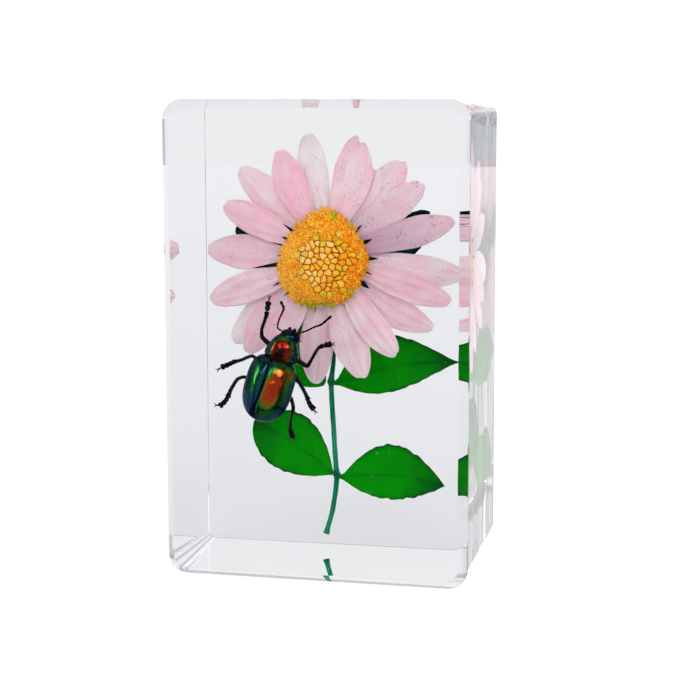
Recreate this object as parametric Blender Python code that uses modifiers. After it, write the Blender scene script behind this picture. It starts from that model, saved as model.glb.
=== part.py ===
"""A pink daisy and a leaf beetle sealed in a clear resin block.

The block stands upright on the XY plane. X runs across its front, Y from front to back and Z up,
and the origin is the middle of its base. Sizes are in metres.
The block is parted in two along its depth, and the specimens lie in the pocket between the halves.
"""

from math import cos, pi, radians, sin, sqrt

import bmesh
import bpy
from mathutils import Matrix, Vector

MM = 0.001

# The clear block.
BLOCK_WIDTH = 47.0 * MM
BLOCK_DEPTH = 30.0 * MM
BLOCK_HEIGHT = 73.0 * MM
CORNER_RADIUS = 3.3 * MM  # of the four edges that run from front to back
FRONT_RIM_RADIUS = 1.9 * MM  # round the front face
BACK_RIM_RADIUS = 0.4 * MM  # round the back face, which was the open side of the mould
PARTING_DEPTH = 4.9 * MM  # where the halves meet, just behind the flower's disc
GAP = 0.3 * MM  # between neighbouring pieces

# The flower head, which faces the front.
FLOWER_X = -1.4 * MM
FLOWER_Z = 48.6 * MM
DISC_RADIUS = 7.6 * MM
DISC_BACK = 4.6 * MM
DISC_HEIGHT = 4.2 * MM
FLORET_RINGS = 9
FLORET_SPOKES = 26
FLORET_HEIGHT = 0.35 * MM
DISC_DOME_POWER = 0.75  # under 1, so the dome is fuller than half a ball

PETAL_ROOT = 4.4 * MM  # where a petal starts, measured from the flower's axis
PETAL_THICKNESS = 0.16 * MM
PETAL_FRONT = 5.2 * MM  # depth of the front layer of petals
PETAL_LAYER_STEP = 0.5 * MM
PETAL_LIFT = 0.5 * MM  # how far the tips rise towards the front
# A petal's outline: its width at the root as a share of its widest, where it is widest as a share of its
# length, the two powers that round off its tip, and its least width there.
PETAL_ROOT_WIDTH = 0.2
PETAL_WIDEST_AT = 0.62
PETAL_TIP_POWERS = (1.5, 0.51)
PETAL_TIP_WIDTH = 0.1
PETAL_GRID = (8, 2)  # faces along and across
# Each petal: angle of its tip from +X in degrees, reach from the axis, half width and sideways bow, and its
# layer from the front.
PETALS = (
    (98.9, 19.8, 2.5, 0.3, 3),
    (74.5, 19.8, 3.1, -0.8, 0),
    (59.0, 16.3, 2.2, 0.0, 2),
    (50.5, 19.7, 2.8, 0.1, 3),
    (36.9, 19.6, 2.6, 0.1, 1),
    (16.4, 21.6, 2.4, 0.0, 0),
    (-6.4, 22.2, 2.6, -0.3, 2),
    (-18.5, 21.3, 2.4, -0.1, 1),
    (-33.2, 20.5, 2.5, -1.2, 3),
    (-53.7, 19.3, 2.5, -0.5, 0),
    (-72.7, 20.3, 3.0, -0.4, 1),
    (-94.3, 20.8, 2.5, -0.5, 3),
    (-121.0, 18.0, 2.3, 0.1, 0),
    (-130.2, 20.8, 2.8, -0.8, 2),
    (-138.0, 21.2, 2.8, -0.2, 3),
    (-158.9, 20.5, 2.6, 0.1, 0),
    (177.8, 19.9, 2.8, 0.0, 2),
    (153.9, 18.6, 2.5, 0.0, 0),
    (135.8, 20.0, 2.7, -0.1, 3),
    (114.5, 18.6, 2.6, 0.6, 1),
)

# The green parts.
CALYX_FRONT = 7.1 * MM
CALYX_BACK = 10.9 * MM
CALYX_RADIUS = 5.0 * MM
CALYX_NECK_RADIUS = 1.3 * MM
SEPAL_COUNT = 15
SEPAL_REACH = 8.7 * MM
SEPAL_THICKNESS = 0.2 * MM

STEM_RADIUS = 0.42 * MM
# The stem from its cut end up to the calyx: x, depth and z, then the radius as a share of STEM_RADIUS.
STEM_ROUTE = (
    (-2.70, 12.5, 2.2, 1.35),
    (-2.40, 12.5, 3.4, 0.95),
    (-1.70, 12.5, 6.0, 1.0),
    (-1.20, 12.5, 9.0, 1.0),
    (-0.95, 12.5, 11.4, 1.1),
    (-0.90, 12.5, 12.1, 1.6),
    (-1.00, 12.5, 12.9, 1.1),
    (-1.25, 12.5, 16.0, 1.0),
    (-1.48, 12.5, 20.0, 1.0),
    (-1.75, 12.5, 24.0, 1.0),
    (-1.88, 12.5, 26.9, 1.05),
    (-1.90, 12.5, 27.7, 1.5),
    (-1.80, 12.5, 28.6, 1.1),
    (-1.45, 12.5, 31.5, 0.8),
    (-1.30, 12.5, 36.0, 0.8),
    (-1.35, 12.4, 42.0, 0.9),
    (-1.40, 12.2, 46.0, 1.0),
    (-1.40, 11.7, 48.3, 1.1),
)

LEAF_THICKNESS = 0.3 * MM
LEAF_STALK_HALF_WIDTH = 0.25  # in millimetres
LEAF_GRID = (10, 4)  # faces along and across
LEAF_CUP = 0.35  # how far a leaf's edges rise towards the front, in millimetres
# Each leaf: base x and z, angle from +X, length, half widths on the left and right of its midrib seen from
# its base, sideways bow of the midrib, the two powers that set where it is widest and how full it is, depth.
LEAVES = {
    "leaf_upper_right": ((-0.9, 27.5), 11.5, 20.5, 5.4, 3.9, 1.0, 0.80, 1.10, 12.3),
    "leaf_upper_left": ((-3.3, 27.0), 106.0, 12.9, 4.6, 1.2, 0.0, 0.50, 0.90, 12.3),
    "leaf_lower_right": ((0.0, 11.8), -2.2, 17.0, 5.3, 3.8, 0.9, 0.94, 0.86, 12.3),
    "leaf_lower_left": ((-1.8, 12.5), 148.1, 15.4, 5.0, 5.1, -0.5, 1.23, 0.59, 12.3),
    "leaf_behind_right": ((4.4, 50.3), 28.0, 11.8, 3.4, 2.2, -2.6, 1.40, 0.75, 8.1),
    "leaf_behind_left": ((-8.4, 50.4), 165.0, 8.7, 1.5, 1.3, 0.0, 0.85, 0.25, 8.1),
}

# The beetle lies in front of the flower, head up, turned a little clockwise.
BEETLE_REAR_X = -11.4 * MM
BEETLE_REAR_Z = 22.8 * MM
BEETLE_DEPTH = -2.6 * MM
BEETLE_TILT = 17.3  # degrees from upright
# Each body part: its middle along the body from the rear and to the right of its centre line, half length,
# half width, height above and below, how square its outline is (2 is an ellipse), and how much it narrows
# towards the head.
BEETLE_BODY = {
    "wing_cases": (5.6, 0.3, 5.3, 3.85, 2.5, 1.7, 2.8, 0.0),
    "pronotum": (12.6, 0.8, 2.35, 2.5, 1.9, 1.3, 2.6, 0.28),
    "head": (14.6, 1.25, 1.25, 1.6, 1.2, 0.9, 2.2, 0.0),
}
WING_SEAM = 0.35  # depth of the groove between the wing cases, in millimetres
WING_SEAM_HALF_WIDTH = 0.16  # as a share of the wing cases' half width
# Each leg or antenna: its points as x, depth and z, then the radius there, all in millimetres.
BEETLE_LIMBS = {
    "front_leg_left": (
        (-7.6, -2.1, 33.9, 0.45), (-9.6, -1.5, 35.2, 0.5), (-10.9, -1.6, 36.4, 0.42), (-10.9, -1.7, 37.4, 0.3),
        (-10.3, -1.8, 38.8, 0.3), (-9.8, -1.8, 40.4, 0.26), (-9.5, -1.7, 41.4, 0.3), (-9.4, -1.6, 42.6, 0.4),
    ),
    "front_leg_right": (
        (-6.5, -2.1, 33.6, 0.45), (-5.0, -1.5, 32.7, 0.5), (-3.3, -1.6, 31.8, 0.42), (-2.5, -1.7, 33.0, 0.28),
        (-1.7, -1.8, 34.4, 0.28), (-1.2, -1.8, 34.9, 0.26), (0.0, -1.7, 35.3, 0.28), (0.9, -1.6, 35.4, 0.4),
    ),
    "middle_leg_left": (
        (-9.6, -2.1, 31.2, 0.45), (-12.2, -1.4, 33.1, 0.32), (-14.0, -1.4, 32.4, 0.3), (-15.4, -1.4, 32.0, 0.36),
        (-16.1, -1.4, 31.6, 0.26), (-17.1, -1.4, 31.2, 0.34), (-17.9, -1.4, 30.7, 0.36),
    ),
    "middle_leg_right": (
        (-6.9, -2.1, 30.6, 0.45), (-5.2, -1.4, 30.0, 0.42), (-3.8, -1.4, 27.7, 0.34), (-3.2, -1.4, 26.4, 0.4),
        (-2.9, -1.4, 25.6, 0.26), (-2.4, -1.4, 25.1, 0.36), (-2.0, -1.4, 24.5, 0.36),
    ),
    "hind_leg_left": (
        (-10.9, -2.1, 28.6, 0.45), (-13.5, -1.4, 29.7, 0.32), (-14.7, -1.4, 29.3, 0.32), (-15.7, -1.4, 27.8, 0.34),
        (-16.3, -1.4, 26.4, 0.4), (-16.7, -1.4, 25.7, 0.26), (-17.5, -1.4, 25.0, 0.36), (-18.3, -1.4, 25.0, 0.38),
    ),
    "hind_leg_right": (
        (-8.2, -2.1, 28.4, 0.45), (-6.1, -1.4, 26.8, 0.4), (-5.6, -1.4, 25.1, 0.42), (-5.9, -1.4, 23.6, 0.26),
        (-6.1, -1.4, 21.7, 0.34), (-5.9, -1.4, 20.8, 0.26), (-5.5, -1.4, 20.1, 0.4),
    ),
    "antenna_left": (
        (-6.4, -2.6, 36.4, 0.2), (-7.1, -2.7, 37.3, 0.14), (-7.8, -2.8, 37.9, 0.14), (-7.5, -2.8, 39.2, 0.14),
        (-7.0, -2.8, 40.3, 0.16), (-6.8, -2.8, 41.0, 0.18), (-7.3, -2.7, 42.0, 0.2),
    ),
    "antenna_right": (
        (-5.6, -2.6, 36.3, 0.2), (-4.5, -2.7, 37.0, 0.14), (-3.1, -2.8, 37.5, 0.14), (-1.9, -2.8, 38.1, 0.14),
        (-0.7, -2.7, 38.6, 0.16), (0.8, -2.6, 39.9, 0.18),
    ),
}

# The pocket between the halves, each recess a plain shape round what it holds.
BEETLE_RECESS_FRONT = -5.9 * MM
BEETLE_RECESS_CENTRE = (-8.8 * MM, 30.1 * MM)
BEETLE_RECESS = (5.3 * MM, 8.6 * MM)  # half width and half length round the body
LEG_RECESS = ((-19.1, -3.5, 19.1), (1.8, 0.3, 43.4))  # lowest and highest corners, in millimetres
DISC_RECESS_RADIUS = 8.3 * MM
PETAL_RECESS_RADIUS = 21.95 * MM
PETAL_RECESS_X = -0.5 * MM
PETAL_RECESS_Z = 48.1 * MM
PETAL_RECESS_BACK = 8.6 * MM
CALYX_RECESS_RADIUS = 5.6 * MM
STEM_RECESS = ((-3.3, 10.9, 30.0), (0.5, 13.6, 50.0))
LEAF_RECESS = ((-16.8, 11.5, 1.3), (20.9, 13.6, 41.8))


def clear_scene():
    for item in list(bpy.data.objects):
        bpy.data.objects.remove(item, do_unlink=True)


def new_collection(name):
    collection = bpy.data.collections.new(name)
    bpy.context.scene.collection.children.link(collection)
    return collection


def new_material(name, colour, roughness, metallic=0.0, transmission=0.0):
    material = bpy.data.materials.new(name)
    material.use_nodes = True
    shader = material.node_tree.nodes["Principled BSDF"]
    shader.inputs["Base Color"].default_value = (*colour, 1.0)
    shader.inputs["Roughness"].default_value = roughness
    shader.inputs["Metallic"].default_value = metallic
    shader.inputs["Transmission Weight"].default_value = transmission
    return material


def object_from_bmesh(shape, name, collection, material=None):
    mesh = bpy.data.meshes.new(name)
    shape.to_mesh(mesh)
    shape.free()
    item = bpy.data.objects.new(name, mesh)
    collection.objects.link(item)
    if material:
        mesh.materials.append(material)
    return item


def make_cutter(item):
    item.hide_render = True
    item.display_type = "WIRE"
    return item


def add_boolean(item, other, operation):
    """A Boolean with one object, or with every object of a collection."""
    modifier = item.modifiers.new(operation.title(), "BOOLEAN")
    modifier.operation = operation
    modifier.solver = "EXACT"
    if isinstance(other, bpy.types.Collection):
        modifier.operand_type = "COLLECTION"
        modifier.collection = other
    else:
        modifier.object = other


def box_between(low, high, name, collection):
    """A box from its two corners in metres."""
    low = Vector(low)
    high = Vector(high)
    shape = bmesh.new()
    bmesh.ops.create_cube(shape, size=1.0)
    bmesh.ops.scale(shape, vec=high - low, verts=shape.verts)
    bmesh.ops.translate(shape, vec=(low + high) / 2, verts=shape.verts)
    return object_from_bmesh(shape, name, collection)


def cylinder_along_depth(x, z, front, back, radius, name, collection, stretch=(1.0, 1.0), turn=0.0, sides=32):
    """A cylinder along Y between two depths, stretched across X and Z and turned about its own axis."""
    shape = bmesh.new()
    bmesh.ops.create_cone(
        shape, cap_ends=True, segments=sides, radius1=radius, radius2=radius, depth=back - front
    )
    placing = (
        Matrix.Translation((x, (front + back) / 2, z))
        @ Matrix.Rotation(turn, 4, "Y")
        @ Matrix.Diagonal((stretch[0], 1.0, stretch[1], 1.0))
        @ Matrix.Rotation(pi / 2, 4, "X")
    )
    bmesh.ops.transform(shape, matrix=placing, verts=shape.verts)
    return object_from_bmesh(shape, name, collection)


def rounded_block():
    """The whole block: its four depth-wise edges rounded first, then the rim of its front and of its back."""
    shape = bmesh.new()
    bmesh.ops.create_cube(shape, size=1.0)
    bmesh.ops.scale(shape, vec=(BLOCK_WIDTH, BLOCK_DEPTH, BLOCK_HEIGHT), verts=shape.verts)
    bmesh.ops.translate(shape, vec=(0.0, 0.0, BLOCK_HEIGHT / 2), verts=shape.verts)
    along_depth = [e for e in shape.edges if abs(e.verts[0].co.y - e.verts[1].co.y) > BLOCK_DEPTH / 2]
    bmesh.ops.bevel(
        shape, geom=along_depth, offset=CORNER_RADIUS, segments=6, profile=0.5, affect="EDGES"
    )
    for face, radius, segments in ((-BLOCK_DEPTH / 2, FRONT_RIM_RADIUS, 4), (BLOCK_DEPTH / 2, BACK_RIM_RADIUS, 2)):
        rim = [e for e in shape.edges if all(abs(v.co.y - face) < GAP for v in e.verts)]
        bmesh.ops.bevel(shape, geom=rim, offset=radius, segments=segments, profile=0.5, affect="EDGES")
    return shape


def make_pocket(pocket):
    """The recesses that hold the specimens, as cutters that run into one another."""
    cylinder_along_depth(
        *BEETLE_RECESS_CENTRE, BEETLE_RECESS_FRONT, PARTING_DEPTH + GAP, 1.0,
        "beetle_recess", pocket, BEETLE_RECESS, radians(BEETLE_TILT), 24,
    )
    box_between(*(Vector(corner) * MM for corner in LEG_RECESS), "leg_recess", pocket)
    cylinder_along_depth(
        FLOWER_X, FLOWER_Z, DISC_BACK - DISC_HEIGHT - FLORET_HEIGHT - GAP, PARTING_DEPTH + GAP,
        DISC_RECESS_RADIUS, "disc_recess", pocket,
    )
    cylinder_along_depth(
        PETAL_RECESS_X, PETAL_RECESS_Z, PETAL_FRONT - PETAL_LIFT - GAP, PETAL_RECESS_BACK,
        PETAL_RECESS_RADIUS, "petal_recess", pocket, sides=48,
    )
    cylinder_along_depth(
        FLOWER_X, FLOWER_Z, PETAL_RECESS_BACK - GAP, CALYX_BACK + GAP, CALYX_RECESS_RADIUS,
        "calyx_recess", pocket, sides=24,
    )
    box_between(*(Vector(corner) * MM for corner in STEM_RECESS), "stem_recess", pocket)
    box_between(*(Vector(corner) * MM for corner in LEAF_RECESS), "leaf_recess", pocket)
    for item in pocket.objects:
        make_cutter(item)


def make_resin(parts, cutters, pocket):
    """Both halves of the block, with half a gap on either side of the parting plane."""
    far = BLOCK_HEIGHT
    clear = new_material("clear_resin", (0.97, 0.98, 0.98), 0.02, transmission=1.0)
    depths = {
        "resin_front_half": (-far, PARTING_DEPTH - GAP / 2),
        "resin_back_half": (PARTING_DEPTH + GAP / 2, far),
    }
    for name, (front, back) in depths.items():
        half = object_from_bmesh(rounded_block(), name, parts, clear)
        keep = box_between((-far, front, -far), (far, back, 2 * far), name + "_side", cutters)
        make_cutter(keep)
        add_boolean(half, keep, "INTERSECT")
        add_boolean(half, pocket, "DIFFERENCE")


def make_disc(parts):
    """The dome of the flower's middle. Every second point is raised, which gives the lumps of the florets."""
    shape = bmesh.new()
    bmesh.ops.create_uvsphere(shape, u_segments=FLORET_SPOKES, v_segments=2 * FLORET_RINGS, radius=1.0)
    below = [v for v in shape.verts if v.co.z < -0.01]
    bmesh.ops.delete(shape, geom=below, context="VERTS")
    rim = [e for e in shape.edges if e.is_boundary]
    bmesh.ops.holes_fill(shape, edges=rim)
    for vert in shape.verts:
        x, y, z = vert.co
        from_axis = sqrt(x * x + y * y)
        # The sphere's latitude and longitude give the ring and the spoke that a point is on.
        ring = round(FLORET_RINGS * 2 / pi * Vector((from_axis, z)).angle_signed(Vector((0.0, 1.0))))
        spoke = round(FLORET_SPOKES / (2 * pi) * Vector((x, y)).angle_signed(Vector((1.0, 0.0)), 0.0))
        raised = FLORET_HEIGHT * ((ring + spoke) % 2) if 0.05 < z < 0.999 else 0.0
        across = DISC_RADIUS * from_axis + raised * from_axis
        height = (DISC_HEIGHT + raised) * z ** DISC_DOME_POWER if z > 0 else 0.0
        flat = across / max(from_axis, 1e-6)
        vert.co = (FLOWER_X + x * flat, DISC_BACK - height, FLOWER_Z + y * flat)
    bmesh.ops.recalc_face_normals(shape, faces=shape.faces)
    gold = new_material("florets", (0.92, 0.47, 0.03), 0.7)
    object_from_bmesh(shape, "flower_disc", parts, gold)


def half_width_of_petal(along):
    """Narrow at the root, widest past the middle, then round to a soft point. along runs from 0 to 1."""
    if along < PETAL_WIDEST_AT:
        return PETAL_ROOT_WIDTH + (1 - PETAL_ROOT_WIDTH) * sin(pi / 2 * along / PETAL_WIDEST_AT)
    inner, outer = PETAL_TIP_POWERS
    past_widest = (along - PETAL_WIDEST_AT) / (1 - PETAL_WIDEST_AT)
    return max(max(1 - past_widest ** inner, 0.0) ** outer, PETAL_TIP_WIDTH)


def half_width_of_leaf(along, skew, fullness):
    """An oval blade with a pointed tip, drawn out of a sine by two powers. along runs from 0 to 1."""
    return max(sin(pi * along ** skew), 0.0) ** fullness


def blade(name, parts, material, thickness, grid, point_at):
    """A thin sheet: a grid whose points are set by point_at(along, across), thickened both ways."""
    shape = bmesh.new()
    bmesh.ops.create_grid(shape, x_segments=grid[0], y_segments=grid[1], size=1.0)
    for vert in shape.verts:
        # Rows draw closer together towards the tip, where the outline turns most.
        along = sin(pi / 4 * (vert.co.x + 1.0))
        vert.co = point_at(along, vert.co.y)
    item = object_from_bmesh(shape, name, parts, material)
    item.data.shade_smooth()
    solid = item.modifiers.new("Thickness", "SOLIDIFY")
    solid.thickness = thickness
    solid.offset = 0.0
    return item


def make_petals(parts):
    for number, (angle, reach, half_width, bow, layer) in enumerate(PETALS, start=1):
        outward = Vector((cos(radians(angle)), sin(radians(angle))))
        sideways = Vector((-outward.y, outward.x))
        depth = PETAL_FRONT + PETAL_LAYER_STEP * layer

        def point_at(along, across):
            radius = PETAL_ROOT + (reach * MM - PETAL_ROOT) * along
            spread = (half_width * half_width_of_petal(along) * across + bow * sin(pi * along)) * MM
            place = outward * radius + sideways * spread
            return (FLOWER_X + place.x, depth - PETAL_LIFT * along ** 2, FLOWER_Z + place.y)

        pink = new_material(f"petal_{number:02d}", (0.83, 0.48, 0.60), 0.6)
        blade(f"petal_{number:02d}", parts, pink, PETAL_THICKNESS, PETAL_GRID, point_at)


def make_calyx(parts, cutters):
    """A turned cup with its sepals, which spread as a flat star behind the petals."""
    shape = bmesh.new()
    length = CALYX_BACK - CALYX_FRONT
    bmesh.ops.create_cone(
        shape, cap_ends=True, segments=20, radius1=CALYX_RADIUS, radius2=CALYX_NECK_RADIUS, depth=length
    )
    facing = Matrix.Translation((FLOWER_X, (CALYX_FRONT + CALYX_BACK) / 2, FLOWER_Z))
    bmesh.ops.transform(shape, matrix=facing @ Matrix.Rotation(-pi / 2, 4, "X"), verts=shape.verts)
    green = new_material("sepals", (0.03, 0.09, 0.05), 0.6)
    cup = object_from_bmesh(shape, "calyx", parts, green)

    star = bmesh.new()
    bmesh.ops.create_circle(star, cap_ends=True, segments=2 * SEPAL_COUNT, radius=1.0)
    star.verts.ensure_lookup_table()
    for vert in star.verts:
        tip = vert.index % 2 == 0
        reach = SEPAL_REACH if tip else CALYX_RADIUS
        vert.co = (FLOWER_X + vert.co.x * reach, CALYX_FRONT + SEPAL_THICKNESS, FLOWER_Z + vert.co.y * reach)
    sheet = bmesh.ops.extrude_face_region(star, geom=star.faces[:])["geom"]
    moved = [v for v in sheet if isinstance(v, bmesh.types.BMVert)]
    bmesh.ops.translate(star, vec=(0.0, SEPAL_THICKNESS, 0.0), verts=moved)
    bmesh.ops.recalc_face_normals(star, faces=star.faces)
    sepals = make_cutter(object_from_bmesh(star, "sepal_star", cutters))
    add_boolean(cup, sepals, "UNION")


def tube(points, name, collection, sides):
    """A tube through points of (x, depth, z, radius) in metres, made a mesh with its caps welded."""
    curve = bpy.data.curves.new(name, "CURVE")
    curve.dimensions = "3D"
    curve.bevel_depth = 1.0
    curve.bevel_resolution = sides
    curve.use_fill_caps = True
    spline = curve.splines.new("POLY")
    spline.points.add(len(points) - 1)
    for point, (x, depth, z, radius) in zip(spline.points, points):
        point.co = (x, depth, z, 1.0)
        point.radius = radius
    route = bpy.data.objects.new(name + "_route", curve)
    collection.objects.link(route)
    bpy.context.view_layer.update()
    ready = route.evaluated_get(bpy.context.evaluated_depsgraph_get())
    mesh = bpy.data.meshes.new_from_object(ready)
    shape = bmesh.new()
    shape.from_mesh(mesh)
    bmesh.ops.remove_doubles(shape, verts=shape.verts, dist=0.002 * MM)
    item = object_from_bmesh(shape, name, collection)
    item.matrix_world = route.matrix_world
    bpy.data.objects.remove(route)
    bpy.data.meshes.remove(mesh)
    return item


def make_stem(parts):
    route = [(x * MM, depth * MM, z * MM, share * STEM_RADIUS) for x, depth, z, share in STEM_ROUTE]
    stem = tube(route, "stem", parts, 3)
    stem.data.materials.append(new_material("stem", (0.02, 0.20, 0.12), 0.5))


def make_leaves(parts):
    for name, (base, angle, length, left, right, bow, skew, fullness, depth) in LEAVES.items():
        outward = Vector((cos(radians(angle)), sin(radians(angle))))
        sideways = Vector((-outward.y, outward.x))

        def point_at(along, across):
            share = half_width_of_leaf(along, skew, fullness)
            spread = max((left if across > 0 else right) * share, LEAF_STALK_HALF_WIDTH)
            place = outward * length * along + sideways * (spread * across + bow * sin(pi * along))
            cup = LEAF_CUP * abs(across) * share
            return ((base[0] + place.x) * MM, (depth - cup) * MM, (base[1] + place.y) * MM)

        green = new_material(name, (0.01, 0.22, 0.02), 0.45)
        blade(name, parts, green, LEAF_THICKNESS, LEAF_GRID, point_at)


def beetle_part(name, sizes, collection):
    """A flattened ball of the body, higher on its back than on its belly, with the wing cases' seam."""
    along, aside, half_length, half_width, above, below, squareness, narrowing = sizes
    shape = bmesh.new()
    bmesh.ops.create_uvsphere(shape, u_segments=20, v_segments=12, radius=1.0)
    for vert in shape.verts:
        # The sphere's X is across the body, its Y towards the belly and its Z along it.
        side, under, length = vert.co
        from_axis = sqrt(side * side + length * length)
        if from_axis > 0.001:
            fuller = from_axis / (abs(side) ** squareness + abs(length) ** squareness) ** (1 / squareness)
            side *= fuller
            length *= fuller
        side *= 1 - narrowing * length
        depth = under * (below if under > 0 else above)
        if name == "beetle" and under < 0:
            depth += WING_SEAM * (1 - min(abs(side) / WING_SEAM_HALF_WIDTH, 1.0)) * -under
        vert.co = ((aside + side * half_width) * MM, depth * MM, (along + length * half_length) * MM)
    placing = Matrix.Translation((BEETLE_REAR_X, BEETLE_DEPTH, BEETLE_REAR_Z))
    bmesh.ops.transform(
        shape, matrix=placing @ Matrix.Rotation(radians(BEETLE_TILT), 4, "Y"), verts=shape.verts
    )
    return object_from_bmesh(shape, name, collection)


def make_beetle(parts, fused):
    """The wing cases, with the pronotum, head, legs and antennae fused to them in one union."""
    body = beetle_part("beetle", BEETLE_BODY["wing_cases"], parts)
    body.data.materials.append(new_material("beetle_shell", (0.02, 0.12, 0.16), 0.2, metallic=0.6))
    for name in ("pronotum", "head"):
        make_cutter(beetle_part(name, BEETLE_BODY[name], fused))
    for name, points in BEETLE_LIMBS.items():
        route = [tuple(value * MM for value in point) for point in points]
        make_cutter(tube(route, name, fused, 1))
    add_boolean(body, fused, "UNION")


def main():
    clear_scene()
    parts = new_collection("insect_in_resin_block")
    cutters = new_collection("cutters")
    pocket = new_collection("pocket_cutters")
    fused = new_collection("beetle_fused_pieces")
    make_pocket(pocket)
    make_resin(parts, cutters, pocket)
    make_disc(parts)
    make_petals(parts)
    make_calyx(parts, cutters)
    make_stem(parts)
    make_leaves(parts)
    make_beetle(parts, fused)


main()
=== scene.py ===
"""A clear cast resin block with a pressed daisy, its leafy stem and a leaf beetle sealed in it.

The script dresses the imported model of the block. Points are worked out in millimetres, in the model's own
frame: X runs across the block's front, Y from front to back and Z up, from the middle of its base.
"""

from functools import partial

import bmesh
import bpy
import numpy as np
from bpy.props import FloatProperty, FloatVectorProperty, IntProperty, PointerProperty
from bpy.types import Operator, Panel, PropertyGroup
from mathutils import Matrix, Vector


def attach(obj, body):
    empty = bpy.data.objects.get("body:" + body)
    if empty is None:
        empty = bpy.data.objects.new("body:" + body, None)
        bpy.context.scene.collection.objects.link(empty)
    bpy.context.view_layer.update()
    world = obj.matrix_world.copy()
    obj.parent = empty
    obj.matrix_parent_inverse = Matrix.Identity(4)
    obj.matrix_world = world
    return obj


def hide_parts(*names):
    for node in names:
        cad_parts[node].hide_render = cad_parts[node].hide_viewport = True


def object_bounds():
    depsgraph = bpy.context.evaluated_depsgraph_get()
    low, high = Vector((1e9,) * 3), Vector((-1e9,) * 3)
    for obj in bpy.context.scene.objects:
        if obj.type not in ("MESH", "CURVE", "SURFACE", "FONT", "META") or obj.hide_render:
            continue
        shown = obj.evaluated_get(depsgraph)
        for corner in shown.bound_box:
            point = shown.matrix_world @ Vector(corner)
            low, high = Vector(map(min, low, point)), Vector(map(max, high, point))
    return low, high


bl_info = {
    "name": "Daisy and Beetle in Resin",
    "version": (1, 0, 0),
    "blender": (4, 5, 0),
    "location": "View3D > Sidebar > Resin Block",
    "description": "Builds a clear resin block with a pressed daisy and a leaf beetle inside",
    "category": "Object",
}

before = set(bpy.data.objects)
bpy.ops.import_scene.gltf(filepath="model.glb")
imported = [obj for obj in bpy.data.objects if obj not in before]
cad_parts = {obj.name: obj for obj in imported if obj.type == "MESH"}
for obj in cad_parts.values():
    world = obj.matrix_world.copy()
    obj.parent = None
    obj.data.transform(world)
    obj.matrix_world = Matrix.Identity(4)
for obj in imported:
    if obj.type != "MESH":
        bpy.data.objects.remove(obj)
cad_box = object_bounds()

MM = 0.001
MERGE_DISTANCE = 0.0005 * MM

# The block, whose outer size comes from the frame. Its corners are rounder in front than at the back.
FRONT_CORNER_RADIUS, BACK_CORNER_RADIUS = 3.3, 1.4
# Each rim as arcs, from the flat face round to the wall: the turn in degrees where one ends, and its radius.
# The front edge is a slightly rounded bevel between two small arcs.
FRONT_RIM = ((34.0, 0.12), (46.0, 7.8), (90.0, 0.5))
BACK_RIM = ((90.0, 0.08),)
CORNER_STEPS, RIM_STEPS = 20, 12

# The flower head faces the front. Depths are along Y.
FLOWER_X, FLOWER_Z = -1.4, 48.6
# The disc's ragged rim: its distance from the axis at every 30 degrees, from +X round.
DISC_OUTLINE = (6.8, 6.1, 6.7, 7.6, 6.6, 6.3, 7.05, 8.1, 8.5, 7.5, 7.4, 6.6)
DISC_BACK, DISC_HEIGHT, DISC_DOME_POWER = 4.6, 3.9, 0.375
DISC_ROWS, DISC_COLUMNS = 112, 560
BUDS_X, BUDS_Z, BUDS_RADIUS = -0.7, 47.6, 4.55
# The cells of buds and florets: middles in their repeating square, each way, how far each is moved, rows' step.
CELL_COUNT, CELL_JITTER, CELL_ROW_STEP = 64, 0.37, 0.87
FLORET_SIDES, FLORET_LOBES, FLORET_SPREAD = 5, 3, 0.35
RIM_FLORETS = 150
GOLDEN_TURN = np.pi * (3 - np.sqrt(5))

PETAL_ROOT, PETAL_FRONT = 4.4, 5.2
PETAL_LAYER_STEP, PETAL_LIFT = 0.5, 0.5
PETAL_ROOT_WIDTH, PETAL_WIDEST_AT = 0.38, 0.62
PETAL_TIP_POWERS = (1.5, 0.51)
PETAL_GROOVE, PETAL_EDGE_TURN, PETAL_NOTCH_WIDTH = 0.07, 0.12, 0.45
PETAL_ROWS, PETAL_COLUMNS = 44, 17
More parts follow.
